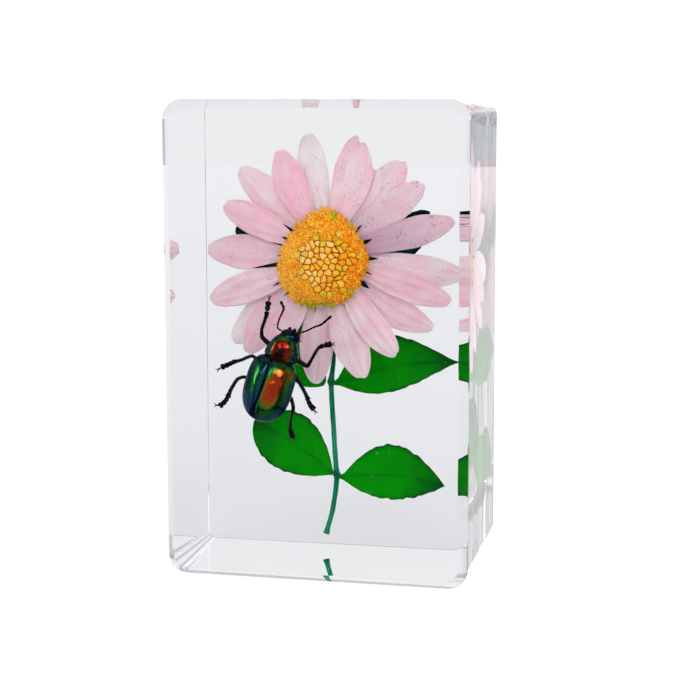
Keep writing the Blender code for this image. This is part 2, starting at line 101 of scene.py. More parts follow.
# Each petal: angle of its tip from +X in degrees, reach from the axis, half width, sideways bow, layer from the
# front, how pink it is, how many specks it has and, past 0.65, how much painted shade darkens it towards the root,
# and how deep and how far aside its tip is notched.
PETALS = (
    (98.9, 19.8, 2.5, 0.3, 3, 0.12, 0.6, 0.3, 0.1),
    (74.5, 19.8, 3.1, -0.8, 0, 0.62, 0.5, 0.9, -0.6),
    (59.0, 16.3, 2.2, 0.0, 2, 0.40, 0.6, 0.3, 0.2),
    (50.5, 19.7, 2.8, 0.1, 3, 0.45, 0.6, 0.4, 0.5),
    (36.9, 19.6, 2.6, 0.1, 1, 0.50, 0.8, 0.2, 0.3),
    (16.4, 21.6, 2.4, 0.0, 0, 0.68, 1.0, 0.3, 0.2),
    (-6.4, 22.2, 2.6, -0.3, 2, 0.45, 0.4, 0.2, 0.0),
    (-18.5, 21.3, 2.4, -0.1, 1, 0.70, 0.3, 0.3, -0.2),
    (-33.2, 20.5, 2.5, -1.2, 3, 0.62, 0.4, 0.2, 0.1),
    (-53.7, 19.3, 2.5, -0.5, 0, 0.56, 0.3, 0.3, 0.3),
    (-72.7, 20.3, 3.0, -0.4, 1, 0.50, 0.3, 0.3, -0.3),
    (-95.5, 20.8, 2.8, -0.5, 3, 0.50, 0.3, 0.2, 0.0),
    (-122.0, 18.0, 2.2, 0.1, 0, 0.60, 0.5, 0.2, 0.0),
    (-130.2, 20.8, 2.8, -0.8, 2, 0.60, 0.3, 0.3, 0.2),
    (-138.0, 21.2, 2.8, -0.2, 3, 0.25, 0.3, 0.3, -0.2),
    (-158.9, 20.5, 2.6, 0.1, 0, 0.55, 0.4, 0.2, 0.2),
    (177.8, 19.9, 2.8, 0.0, 2, 0.62, 0.5, 0.3, 0.0),
    (153.9, 18.6, 2.5, 0.0, 0, 0.70, 0.4, 0.3, -0.2),
    (135.8, 20.0, 2.7, -0.1, 3, 0.48, 0.4, 0.3, 0.3),
    (114.5, 18.6, 2.6, 0.6, 1, 0.90, 0.3, 0.3, -0.1),
)

# The cup starts a little behind the calyx's front, against the petals.
CALYX_FRONT, CALYX_BACK, CUP_SET_BACK = 7.1, 10.9, 0.1
CALYX_RADIUS, CALYX_NECK_RADIUS = 5.0, 1.3
CALYX_ROWS, CALYX_SIDES, SEPAL_SIDES = 14, 48, 10
# Each sepal behind the petals: angle from +X in degrees, reach from the axis, half width.
SEPALS = tuple((24.0 * k, 8.6, 1.0) for k in range(15))
# The sepals whose tips come through between the petals, in the same terms.
SEPAL_TIPS = (
    (143.2, 8.7, 0.30), (166.0, 9.3, 0.16), (156.5, 7.9, 0.40), (179.5, 7.9, 0.40), (-170.5, 12.3, 0.42),
    (-150.8, 10.0, 0.42), (-137.0, 9.5, 0.35), (41.3, 7.9, 0.35), (21.5, 8.1, 0.50), (-0.7, 8.5, 0.50),
    (-19.4, 8.0, 0.30), (-34.4, 8.6, 0.75), (-68.7, 8.8, 0.20), (-101.5, 9.2, 0.25),
)

STEM_RADIUS, STEM_SIDES, STEM_RIBS = 0.42, 24, 6
# The stem from its cut end up to the calyx: x, depth and z, then the radius as a share of STEM_RADIUS.
STEM_ROUTE = (
    (-2.70, 12.5, 2.2, 1.35), (-2.40, 12.5, 3.4, 0.95), (-1.70, 12.5, 6.0, 1.0), (-1.20, 12.5, 9.0, 1.0),
    (-0.95, 12.5, 11.4, 1.1), (-0.90, 12.5, 12.1, 1.6), (-1.00, 12.5, 12.9, 1.1), (-1.25, 12.5, 16.0, 1.0),
    (-1.48, 12.5, 20.0, 1.0), (-1.75, 12.5, 24.0, 1.0), (-1.88, 12.5, 26.9, 1.05), (-1.90, 12.5, 27.7, 1.5),
    (-1.80, 12.5, 28.6, 1.1), (-1.45, 12.5, 31.5, 0.8), (-1.30, 12.5, 36.0, 0.8), (-1.35, 12.4, 42.0, 0.9),
    (-1.40, 12.2, 46.0, 1.0), (-1.40, 11.7, 48.3, 1.1),
)
STEM_JOINTS = (12.1, 27.7)

LEAF_CUP = 0.35
LEAF_TEETH, LEAF_SIDE_VEINS = 17, 9
LEAF_ROWS, LEAF_COLUMNS = 150, 49
# Each leaf: base x and z, angle from +X, length, half widths on the left and right of its midrib, sideways bow of
# the midrib, two powers for where it is widest and how full it is, depth, how ragged its edge is, stalk length.
LEAVES = {
    "leaf_upper_right": ((-0.9, 27.5), 11.5, 20.5, 5.4, 3.9, 1.0, 0.80, 1.10, 12.3, 0.35, 0.6),
    "leaf_upper_left": ((-3.3, 27.0), 106.0, 12.9, 4.6, 1.2, 0.0, 0.50, 0.90, 12.3, 0.20, 0.0),
    "leaf_lower_right": ((0.0, 11.8), -2.2, 17.0, 5.3, 3.8, 0.9, 0.94, 0.86, 12.3, 0.60, 0.5),
    "leaf_lower_left": ((-1.8, 12.5), 148.1, 15.4, 5.0, 5.1, -0.5, 1.23, 0.59, 12.3, 0.45, 0.3),
    "leaf_behind_right": ((4.4, 50.3), 28.0, 11.8, 3.4, 2.2, -2.6, 1.40, 0.75, 8.1, 0.30, 0.0),
    "leaf_behind_left": ((-8.4, 50.4), 165.0, 8.7, 1.5, 1.3, 0.0, 0.85, 0.25, 8.1, 0.20, 0.0),
}

# The beetle's own frame: along its body from the rear, to its right side, and up from its belly to the viewer.
BEETLE_REAR, BEETLE_DEPTH, BEETLE_TILT = (-11.4, 22.8), -2.6, 17.3
WING_MIDDLE, WING_HALF_LENGTH = 5.6, 5.3
WING_ASIDE, WING_HALF_WIDTH = 0.3, 3.85
WING_HEIGHT, WING_THICKNESS = 2.5, 0.12
WING_TURN_UNDER = np.radians(112)
WING_ROWS, WING_COLUMNS = 70, 36
# Small dents and lumps in the wing cases: place along and across the body, width and height.
DENTS = (
    ((8.4, 1.9), 0.30, 0.09), ((7.0, 1.2), 0.40, 0.12), ((6.5, 2.2), 0.35, 0.09), ((9.3, 3.2), 0.40, 0.10),
    ((8.1, -1.4), 0.25, 0.07), ((4.2, 1.0), 0.9, -0.06), ((6.2, -1.6), 0.6, 0.06), ((2.0, -1.4), 0.5, 0.05),
)
# Each body part: its middle along the body and to the right, half length, half width, height above and below, how
# square its outline is, and how much it narrows towards the head.
SHIELD = (12.6, 0.8, 2.35, 2.5, 1.9, 1.3, 3.0, 0.34)
HEAD = (14.6, 1.25, 1.25, 1.6, 1.2, 0.9, 2.2, 0.0)
BELLY = (6.0, 0.3, 5.2, 3.4, 0.3, 1.65, 2.3, 0.0)
# Eyes and jaws in the same terms, but ahead of the head's middle and to either side, and then their grid.
EYE = (-0.1, 1.35, 0.45, 0.36, 0.8, 0.4, 2.0, 0.0, 12, 18)
JAW = (1.15, 0.4, 0.45, 0.32, 0.3, 0.4, 2.0, 0.0, 10, 14)
# Each leg, front, middle and hind, left before right: the number of its ankle point, and its points as x, depth
# and z, then the radius there.
LEGS = (
    (5, (
        (-7.6, -2.1, 33.9, 0.45), (-9.5, -1.5, 35.1, 0.5), (-10.6, -1.6, 36.2, 0.42), (-10.6, -1.7, 37.4, 0.3),
        (-10.2, -1.8, 38.5, 0.3), (-9.8, -1.8, 39.6, 0.3), (-9.6, -1.7, 41.0, 0.3), (-9.3, -1.6, 42.5, 0.4),
    )),
    (5, (
        (-6.5, -2.1, 33.6, 0.45), (-5.0, -1.5, 32.7, 0.5), (-3.3, -1.6, 31.8, 0.42), (-2.5, -1.7, 33.0, 0.28),
        (-1.7, -1.8, 34.4, 0.28), (-1.2, -1.8, 34.9, 0.26), (0.0, -1.7, 35.3, 0.28), (0.9, -1.6, 35.4, 0.4),
    )),
    (3, (
        (-9.6, -2.1, 31.2, 0.45), (-12.2, -1.4, 33.1, 0.32), (-14.0, -1.4, 32.4, 0.3), (-15.4, -1.4, 32.0, 0.36),
        (-16.1, -1.4, 31.6, 0.26), (-17.1, -1.4, 31.2, 0.34), (-17.9, -1.4, 30.7, 0.36),
    )),
    (3, (
        (-6.9, -2.1, 30.6, 0.45), (-5.2, -1.4, 30.0, 0.42), (-3.8, -1.4, 27.7, 0.34), (-3.2, -1.4, 26.4, 0.4),
        (-2.9, -1.4, 25.6, 0.26), (-2.4, -1.4, 25.1, 0.36), (-2.0, -1.4, 24.5, 0.36),
    )),
    (4, (
        (-10.9, -2.1, 28.6, 0.45), (-13.5, -1.4, 29.7, 0.32), (-14.7, -1.4, 29.3, 0.32), (-15.7, -1.4, 27.8, 0.34),
        (-16.3, -1.4, 26.4, 0.4), (-16.7, -1.4, 25.7, 0.26), (-17.5, -1.4, 25.0, 0.36), (-18.3, -1.4, 25.0, 0.38),
    )),
    (4, (
        (-8.2, -2.1, 28.4, 0.45), (-6.1, -1.4, 26.8, 0.36), (-5.6, -1.4, 25.1, 0.36), (-5.9, -1.4, 23.6, 0.25),
        (-6.1, -1.4, 21.7, 0.30), (-5.9, -1.4, 20.8, 0.26), (-5.5, -1.4, 20.1, 0.4),
    )),
)
LEG_STEPS = 10
# The middles of the foot's pads, as shares of the way from the ankle to the claws.
PAD_PLACES = (0.14, 0.40, 0.66)
# The left and the right antenna, and the feelers beside the jaws, in the same terms as a leg's points.
ANTENNAE = (
    (
        (-6.4, -2.6, 36.4, 0.2), (-7.1, -2.7, 37.3, 0.14), (-7.8, -2.8, 37.9, 0.14), (-7.5, -2.8, 39.2, 0.14),
        (-7.0, -2.8, 40.3, 0.16), (-6.8, -2.8, 41.0, 0.18), (-7.3, -2.7, 42.0, 0.2),
    ),
    (
        (-5.6, -2.6, 36.3, 0.2), (-4.5, -2.7, 37.0, 0.14), (-3.1, -2.8, 37.5, 0.14), (-1.9, -2.8, 38.1, 0.14),
        (-0.7, -2.7, 38.6, 0.16), (0.8, -2.6, 39.9, 0.18),
    ),
)
FEELER = ((-4.9, -2.6, 35.9, 0.12), (-4.5, -2.7, 35.8, 0.14), (-4.2, -2.7, 35.75, 0.12), (-3.8, -2.7, 35.85, 0.07))

# The floor lies a hair below the block.
FLOOR_HEIGHT = -0.05
# The camera stands to the right of the block and a little above its middle, and looks slightly down. Its shift
# keeps the block's upright edges nearly parallel.
CAMERA_PLACE = (50.3, -191.05, 66.06)
CAMERA_PITCH, CAMERA_ROLL, CAMERA_YAW = 84.506, -0.434, 8.691
CAMERA_LENS, CAMERA_SENSOR = 63.45, 36.0
CAMERA_SHIFT = (-0.17, -0.12)

WHITE = (1.0, 1.0, 1.0, 1.0)


def linear(hex_colour):
    """An sRGB hex colour as linear red, green, blue and a full alpha."""
    channels = np.array([int(hex_colour[i:i + 2], 16) for i in (1, 3, 5)]) / 255
    values = np.where(channels <= 0.04045, channels / 12.92, ((channels + 0.055) / 1.055) ** 2.4)
    return (*values.tolist(), 1.0)


def add_node(tree, kind, inputs=None, output=0, stops=(), **settings):
    """Adds a shader node with its settings and gives one of its outputs, if it has any.

    inputs gives each socket a value or a link. stops are a ramp's places, its two ends first, each with a hex
    colour, a linear colour or a grey.
    """
    node = tree.nodes.new(f"ShaderNode{kind}")
    for name, value in settings.items():
        setattr(node, name, value)
    for key, value in (inputs or {}).items():
        if isinstance(value, bpy.types.NodeSocket):
            tree.links.new(value, node.inputs[key])
        else:
            node.inputs[key].default_value = value
    for index, (place, colour) in enumerate(stops):
        elements = node.color_ramp.elements
        element = elements[index] if index < 2 else elements.new(place)
        element.position = place
        if isinstance(colour, float):
            colour = (colour,) * 3
        element.color = linear(colour) if isinstance(colour, str) else (*colour, 1.0)
    return node.outputs[output] if node.outputs else None


def empty_tree(owner):
    """Gives a new material or world an empty tree, and a function that adds nodes to it."""
    owner.use_nodes = True
    owner.node_tree.nodes.clear()
    return owner, partial(add_node, owner.node_tree)


def full_turn(count):
    """Even angles round a circle."""
    return np.linspace(0, 2 * np.pi, count, endpoint=False)


def clamp(values):
    """The values, held between nought and one."""
    return np.clip(values, 0, 1)


def bell(values, width):
    """A hump of one at nought: e to the power of less the squared share of the width."""
    return np.exp(-((values / width) ** 2))


def unit(vectors):
    """The vectors, each one long."""
    return vectors / np.linalg.norm(vectors, axis=1, keepdims=True)


def turned(along, side, angle):
    """The x and z of a place given along and to the left of a direction, whose angle from +X is in degrees."""
    c, s = np.cos(np.radians(angle)), np.sin(np.radians(angle))
    return along * c - side * s, along * s + side * c


def points_at(x, y, z):
    """Points from their coordinates."""
    return np.stack(np.broadcast_arrays(x, y, z), axis=-1)


def grid_quads(rows, columns, closed=False):
    """The cells of a grid of points as four corners each. A closed grid joins its last column to its first."""
    row, column = np.meshgrid(np.arange(rows - 1), np.arange(columns - (not closed)), indexing="ij")
    near = (row * columns + column).ravel()
    far = (row * columns + (column + 1) % columns).ravel()
    return np.stack([near, far, far + columns, near + columns], axis=1)


def grid_shape(points, closed=False):
    """A shape, which is points and quads, from points in rows and columns."""
    return points.reshape(-1, 3), grid_quads(*points.shape[:2], closed)


def stack(*shapes):
    """Joins shapes into one, by shifting the later quads past the earlier points."""
    starts = np.cumsum([0] + [len(points) for points, quads in shapes[:-1]])
    return (
        np.concatenate([points for points, quads in shapes]),
        np.concatenate([quads + start for start, (points, quads) in zip(starts, shapes)]),
    )


def smooth_path(points, steps):
    """A Catmull-Rom curve: cubic pieces through the points, each leaving along the line between its neighbours."""
    points = np.asarray(points, float)
    padded = np.vstack([2 * points[0] - points[1], points, 2 * points[-1] - points[-2]])
    place = np.linspace(0, len(points) - 1, (len(points) - 1) * steps + 1)
    piece = np.minimum(place.astype(int), len(points) - 2)
    t = (place - piece)[:, None]
    a, b, c, d = (padded[piece + k] for k in range(4))
    return 0.5 * (2 * b + (c - a) * t + (2 * a - 5 * b + 4 * c - d) * t**2 + (3 * b - a - 3 * c + d) * t**3)


def tube(route, sides, ribs=0, rib_depth=0.0, flatten=1.0):
    """A circle carried along a route of x, y, z and radius, and closed at both ends.

    Each point is the route's own plus the radius times cosine and sine of the turn along two directions square
    to the route. Ribs swell the radius by a cosine of the turn.
    """
    route = np.asarray(route, float)
    centre, radius = route[:, :3], route[:, 3]
    forward = unit(np.gradient(centre, axis=0))
    depthwise = unit(np.array([0.0, 1.0, 0.0]) - forward * forward[:, 1:2])
    sideways = np.cross(forward, depthwise)
    turn = full_turn(sides)
    swell = radius[:, None] * (1 + rib_depth * np.cos(ribs * turn))[None, :]
    ring = (
        centre[:, None, :]
        + (swell * np.cos(turn) * flatten)[..., None] * depthwise[:, None, :]
        + (swell * np.sin(turn))[..., None] * sideways[:, None, :]
    )
    ends = np.repeat(centre[[0, -1]][:, None, :], sides, axis=1)
    return grid_shape(np.concatenate([ends[:1], ring, ends[1:]]), closed=True)


def place_piece(mesh, material, slot, *replaced):
    """Puts a finished mesh in the scene as a piece that rides on the object and stands for its nodes."""
    piece = bpy.data.objects.new(mesh.name, mesh)
    bpy.context.scene.collection.objects.link(piece)
    mesh.materials.append(material)
    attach(piece, "root")
    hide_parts(*replaced)
    return piece


def make_piece(name, node, slot, shape, material, marks, across=None, thickness=0.0):
    """Makes a finished object from a shape in millimetres, which stands for a node of the model.

    marks are named numbers for each point. across is two numbers for each point, kept as a UV map. Points that
    meet, as at poles, are merged, the faces are turned outwards, and a sheet is given its thickness.
    """
    points, quads = shape
    mesh = bpy.data.meshes.new(name)
    mesh.from_pydata((points * MM).tolist(), [], quads.tolist())
    for label, values in marks.items():
        each = np.broadcast_to(values, len(points)).astype(np.float32)
        mesh.attributes.new(label, "FLOAT", "POINT").data.foreach_set("value", each)
    if across is not None:
        corners = np.empty(len(mesh.loops), np.int32)
        mesh.loops.foreach_get("vertex_index", corners)
        mesh.uv_layers.new(name="Surface").data.foreach_set("uv", across[corners].astype(np.float32).ravel())
    work = bmesh.new()
    work.from_mesh(mesh)
    bmesh.ops.remove_doubles(work, verts=work.verts, dist=MERGE_DISTANCE)
    bmesh.ops.recalc_face_normals(work, faces=work.faces)
    work.to_mesh(mesh)
    work.free()
    mesh.shade_smooth()
    piece = place_piece(mesh, material, slot, node)
    if thickness:
        solid = piece.modifiers.new("Thickness", "SOLIDIFY")
        solid.thickness = thickness
        solid.offset = 0.0


def resin_material(tint, ior):
    """Clear casting resin, polished: see-through, with a faint grey from its own depth.

    The right side keeps soft upright draw lines from the mould, some 6 mm apart, which bend light a little.
    """
    material, add = empty_tree(bpy.data.materials.new("clear_casting_resin"))
    place = add("TexCoord", output="Object")
    stretched = add("Mapping", {"Vector": place, "Scale": (1.0, 160.0, 20.0)})
    lines = add("TexNoise", {"Vector": stretched, "Scale": 1.0, "Detail": 2.0})
    facing_right = add("SeparateXYZ", {0: add("NewGeometry", output="Normal")})
    side = add("Math", {0: facing_right, 1: 6.0}, operation="POWER")
    right = add("MapRange", {0: add("SeparateXYZ", {0: place}), 1: 0.0, 2: 0.02, 3: 0.0, 4: side})
    relief = add("Math", {0: lines, 1: right}, operation="MULTIPLY")
    bump = add("Bump", {"Height": relief, "Strength": 0.28, "Distance": 0.0003})
    shader = add("BsdfPrincipled", {
        "Base Color": WHITE, "Roughness": 0.0, "IOR": ior, "Transmission Weight": 1.0,
        "Specular Tint": (0.03, 0.03, 0.03, 1.0), "Normal": bump,
    })
    depth = add("VolumeAbsorption", {"Color": (*tint, 1.0), "Density": 120.0})
    add("OutputMaterial", {"Surface": shader, "Volume": depth})
    return material


def rim_profile(arcs):
    """A rounded edge from a flat face round to a wall: how far in, how far back, and the normal's two parts.

    Along an arc, the way out grows as its radius times the turn's sine, and the way back as its radius times
    one less the cosine. Each arc goes on from the last one's end.
    """
    out, back, turns, last = [np.zeros(1)], [np.zeros(1)], [np.zeros(1)], 0.0
    for end, radius in arcs:
        turn = np.linspace(last, np.radians(end), RIM_STEPS + 1)[1:]
        out.append(out[-1][-1] + radius * (np.sin(turn) - np.sin(last)))
        back.append(back[-1][-1] + radius * (np.cos(last) - np.cos(turn)))
        turns.append(turn)
        last = np.radians(end)
    out, back, turns = np.concatenate(out), np.concatenate(back), np.concatenate(turns)
    return out[-1] - out, back, np.sin(turns), np.cos(turns)


def block_surface(low, high):
    """The block's skin: points and normals in rows from its front face to its back face.

    The outline is a rectangle with round corners: each point is a corner's centre plus its radius less the
    inset, along the turn. The radius shrinks evenly with the depth. The insets and depths at the front and the
    back follow the profiles of their rims, and the normals too, so the flat faces are optically flat.
    """
    corner = np.repeat(np.arange(4), CORNER_STEPS + 1)
    turn = (corner + np.tile(np.linspace(0, 1, CORNER_STEPS + 1), 4)) * np.pi / 2
    front_in, front_back, front_out, front_face = rim_profile(FRONT_RIM)
    back_in, back_back, back_out, back_face = (v[::-1] for v in rim_profile(BACK_RIM))
    depth = np.concatenate([low[1] + front_back, high[1] - back_back])[:, None]
    full = FRONT_CORNER_RADIUS + (BACK_CORNER_RADIUS - FRONT_CORNER_RADIUS) * (depth - low[1]) / (high[1] - low[1])
    radius = full - np.concatenate([front_in, back_in])[:, None]
    right = np.where((corner == 0) | (corner == 3), high[0] - full, low[0] + full)
    upper = np.where(corner < 2, high[2] - full, low[2] + full)
    outward = np.concatenate([front_out, back_out])[:, None]
    backward = np.concatenate([-front_face, back_face])[:, None]
    return (
        points_at(right + radius * np.cos(turn), depth, upper + radius * np.sin(turn)),
        points_at(outward * np.cos(turn), backward, outward * np.sin(turn)),
    )


def make_block(settings):
    """The one clear casting, which stands for both halves of the model."""
    points, normals = block_surface(*(np.array(corner) / MM for corner in cad_box))
    rows, columns = points.shape[:2]
    walls = grid_quads(rows, columns, closed=True)[:, ::-1].tolist()
    front, back = list(range(columns)), list(range((rows - 1) * columns, rows * columns))
    mesh = bpy.data.meshes.new("resin_block")
    mesh.from_pydata((points.reshape(-1, 3) * MM).tolist(), [], walls + [front, back[::-1]])
    mesh.shade_smooth()
    mesh.normals_split_custom_set_from_vertices(normals.reshape(-1, 3).tolist())
    material = resin_material(settings.tint, settings.ior)
    place_piece(mesh, material, "clear_resin", "resin_front_half", "resin_back_half")


def petal_material(settings):
    """Pressed ray petal: thin, dull tissue that lets light through, with lengthwise veins, purple specks and painted
    shade.
    """
    material, add = empty_tree(bpy.data.materials.new("pressed_petal"))
    surface = add("UVMap", uv_map="Surface")
    place = add("TexCoord", output="Object")
    pink, speckled_and_shaded = (add("Attribute", output="Fac", attribute_name=name) for name in ("pink", "speckled_and_shaded"))
    # Patches some 3 mm across, where the tissue is fuller or paler.
    patches = add("TexNoise", {"Vector": place, "Scale": 330.0, "Detail": 3.0})
    fuller = add("MapRange", {0: patches, 1: 0.3, 2: 0.7, 3: -0.25, 4: 0.25})
    depth = add("Math", {0: pink, 1: fuller}, operation="ADD", use_clamp=True)
    tint = add("ValToRGB", {0: depth}, stops=(
        (0.0, settings.petal_pale), (1.0, settings.petal_deep), (0.5, settings.petal_middle),
    ))
    # Veins along the petal, about 0.3 mm apart.
    drawn = add("Mapping", {"Vector": surface, "Scale": (2.2, 17.0, 1.0)})
    veins = add("TexNoise", {"Vector": drawn, "Scale": 1.0, "Detail": 3.0})
    darker = add("MapRange", {0: veins, 1: 0.35, 2: 0.65, 3: 0.955, 4: 1.03})
    veined = add("Mix", {0: 1.0, 6: tint, 7: darker}, output=2, data_type="RGBA", blend_type="MULTIPLY")
    # Specks about 0.15 mm across, in loose clusters.
    grain = add("TexNoise", {"Vector": place, "Scale": 4200.0, "Detail": 1.0})
    clusters = add("TexNoise", {"Vector": place, "Scale": 420.0, "Detail": 2.0})
    limit = add("MapRange", {0: clusters, 1: 0.35, 2: 0.7, 3: 0.74, 4: 0.56})
    over = add("Math", {0: grain, 1: limit}, operation="SUBTRACT")
    speck = add("Math", {0: over, 1: 14.0}, operation="MULTIPLY", use_clamp=True)
    share = add("Math", {0: speck, 1: speckled_and_shaded}, operation="MULTIPLY", use_clamp=True)
    # Painted shade: the petals with the most specks are painted dusky purple towards their roots, over their specks.
    painted_shade_near_root = add("MapRange", {0: add("SeparateXYZ", {0: surface}), 1: 0.25, 2: 0.9, 3: 0.42, 4: 0.0})
    much = add("MapRange", {0: speckled_and_shaded, 1: 0.65, 2: 1.0, 3: 0.0, 4: painted_shade_near_root})
    specks_and_painted_shade = add("Math", {0: share, 1: much}, operation="MAXIMUM")
    colour = add("Mix", {0: specks_and_painted_shade, 6: veined, 7: linear("#A87AA4")}, output=2, data_type="RGBA")
    bump = add("Bump", {"Height": veins, "Strength": 0.5, "Distance": 0.00008})
    front = add("BsdfPrincipled", {
        "Base Color": colour, "Roughness": 0.65, "Specular IOR Level": 0.05, "Normal": bump,
    })
    through = add("BsdfTranslucent", {"Color": colour, "Normal": bump})
    add("OutputMaterial", {"Surface": add("MixShader", {0: 0.36, 1: front, 2: through})})
    return material


def petal_surface(angle, reach, half_width, bow, layer, notch, aside):
    """A petal as a sheet: u runs from its root to its tip and v from one edge to the other.

    A point lies at the root's distance plus u of the length along the petal's direction, and at v times the
    half width across it, plus the bow times the sine of half a turn of u. The half width rises as a sine from
    the root and falls as one less a power past the widest place. Two grooves run along the petal, its edges
    turn back a little, and its tip is drawn in by the notch. It also gives u and v, from nought to one.
    """
    u = np.sin(np.pi / 2 * np.linspace(0, 1, PETAL_ROWS))[:, None]
    v = np.linspace(-1, 1, PETAL_COLUMNS)[None, :]
    inner, outer = PETAL_TIP_POWERS
    rising = PETAL_ROOT_WIDTH + (1 - PETAL_ROOT_WIDTH) * np.sin(np.pi / 2 * np.minimum(u / PETAL_WIDEST_AT, 1))
    past = clamp((u - PETAL_WIDEST_AT) / (1 - PETAL_WIDEST_AT))
    width = half_width * np.where(u < PETAL_WIDEST_AT, rising, np.maximum(1 - past**inner, 0) ** outer)
    seed = np.radians(7 * angle)
    frill = 0.05 * np.sin(9 * u + seed) * v + 0.03 * np.sin(23 * u + 2 * seed) * np.abs(v)
    tip = clamp((u - 0.7) / 0.3) ** 2
    drawn_in = notch * tip * bell(width * v - aside, PETAL_NOTCH_WIDTH)
    along = PETAL_ROOT + (reach - PETAL_ROOT) * u - drawn_in + frill * tip * (1 - past)
    side = width * v + bow * np.sin(np.pi * u) + frill * np.minimum(width, 1.0)
    grooves = PETAL_GROOVE * np.cos(3 * np.pi * v) * np.minimum(width / 2, 1)
    turned_back = PETAL_EDGE_TURN * v**2 + 0.08 * np.sin(5 * u + seed) * v
    depth = PETAL_FRONT + PETAL_LAYER_STEP * layer - PETAL_LIFT * u**2 + grooves + turned_back
    x, z = turned(along, side, angle)
    surface = np.stack(np.broadcast_arrays(u, (v + 1) / 2), axis=-1).reshape(-1, 2)
    return grid_shape(points_at(FLOWER_X + x, depth, FLOWER_Z + z)), surface


def make_petals(settings):
    """Twenty petals, each in its own place in one of four layers, and with veins of its own."""
    material = petal_material(settings)
    for number, (angle, reach, half_width, bow, layer, pink, speckled_and_shaded, notch, aside) in enumerate(PETALS, 1):
        shape, across = petal_surface(angle, reach, half_width, bow, layer, notch, aside)
        across = across + [0.0, 3.7 * number]
        name = f"petal_{number:02d}"
        marks = {"pink": pink, "speckled_and_shaded": speckled_and_shaded}
        make_piece(f"{name}_pressed", name, "petal", shape, material, marks, across, settings.petal_thickness)


def disc_outline(turn):
    """The rim's distance from the axis: the measured distances joined up, with small waves of the turn on top."""
    corners = np.arange(len(DISC_OUTLINE) + 1) * np.pi / 6
    plain = np.interp(turn % (2 * np.pi), corners, [*DISC_OUTLINE, DISC_OUTLINE[0]])
    return plain + 0.12 * np.sin(17 * turn + 1.0) + 0.08 * np.sin(29 * turn)


def disc_height(x, z):
    """How far the dome stands out: its height times one less the squared share of the rim's distance, to a power."""
    share = np.minimum(np.hypot(x, z) / disc_outline(np.arctan2(z, x)), 1.0)
    return DISC_HEIGHT * (1 - share**2) ** DISC_DOME_POWER


def on_dome(x, z, lift):
    """Places on the dome, raised by lift, and the dome's normals there, from the slopes of its height."""
    step, steepest = 0.15, 2.0
    slope_x = (disc_height(x + step, z) - disc_height(x - step, z)) / (2 * step)
    slope_z = (disc_height(x, z + step) - disc_height(x, z - step)) / (2 * step)
    limit = np.minimum(1, steepest / np.maximum(np.hypot(slope_x, slope_z), 1e-6))
    normal = unit(points_at(-slope_x * limit, -1.0, -slope_z * limit))
    place = points_at(FLOWER_X + x, DISC_BACK - disc_height(x, z), FLOWER_Z + z)
    return place + normal * np.reshape(lift, (-1, 1)), normal


def floret_material():
    """Dried disc florets: matt grains, pale ochre while shut, gold to deep orange where open, brown painted shade at
    their feet.
    """
    material, add = empty_tree(bpy.data.materials.new("dried_disc_florets"))
    place = add("TexCoord", output="Object")
    rise, ripe, green = (add("Attribute", output="Fac", attribute_name=name) for name in ("rise", "ripe", "green"))
    tint = add("ValToRGB", {0: ripe}, stops=(
        (0.0, "#FFD978"), (1.0, "#FF9E14"), (0.35, "#FFCC50"), (0.65, "#FFC032"),
    ))
    # Fresher, yellow-green florets in a few patches, mostly at the rim.
    fresh = add("Mix", {0: green, 6: tint, 7: linear("#C8C81E")}, output=2, data_type="RGBA")
    # Painted shade: the lower a place lies on its bud or floret, down in the gaps between them, the browner and
    # darker it is.
    shade = add("ValToRGB", {0: rise}, stops=(
        (0.0, "#8C4A12"), (1.0, "#FFF2DC"), (0.3, "#DA9A56"), (0.6, "#FFF6E6"),
    ))
    shaded = add("Mix", {0: 1.0, 6: fresh, 7: shade}, output=2, data_type="RGBA", blend_type="MULTIPLY")
    # Grains of pollen, 0.2 mm across.
    pollen = add("TexNoise", {"Vector": place, "Scale": 5200.0, "Detail": 2.0})
    dust = add("MapRange", {0: pollen, 1: 0.3, 2: 0.7, 3: 0.72, 4: 1.2})
    colour = add("Mix", {0: 1.0, 6: shaded, 7: dust}, output=2, data_type="RGBA", blend_type="MULTIPLY")
    bump = add("Bump", {"Height": pollen, "Strength": 0.6, "Distance": 0.00006})
    shader = add("BsdfPrincipled", {
        "Base Color": colour, "Roughness": 0.8, "Specular IOR Level": 0.1, "Normal": bump,
    })
    add("OutputMaterial", {"Surface": shader})
    return material


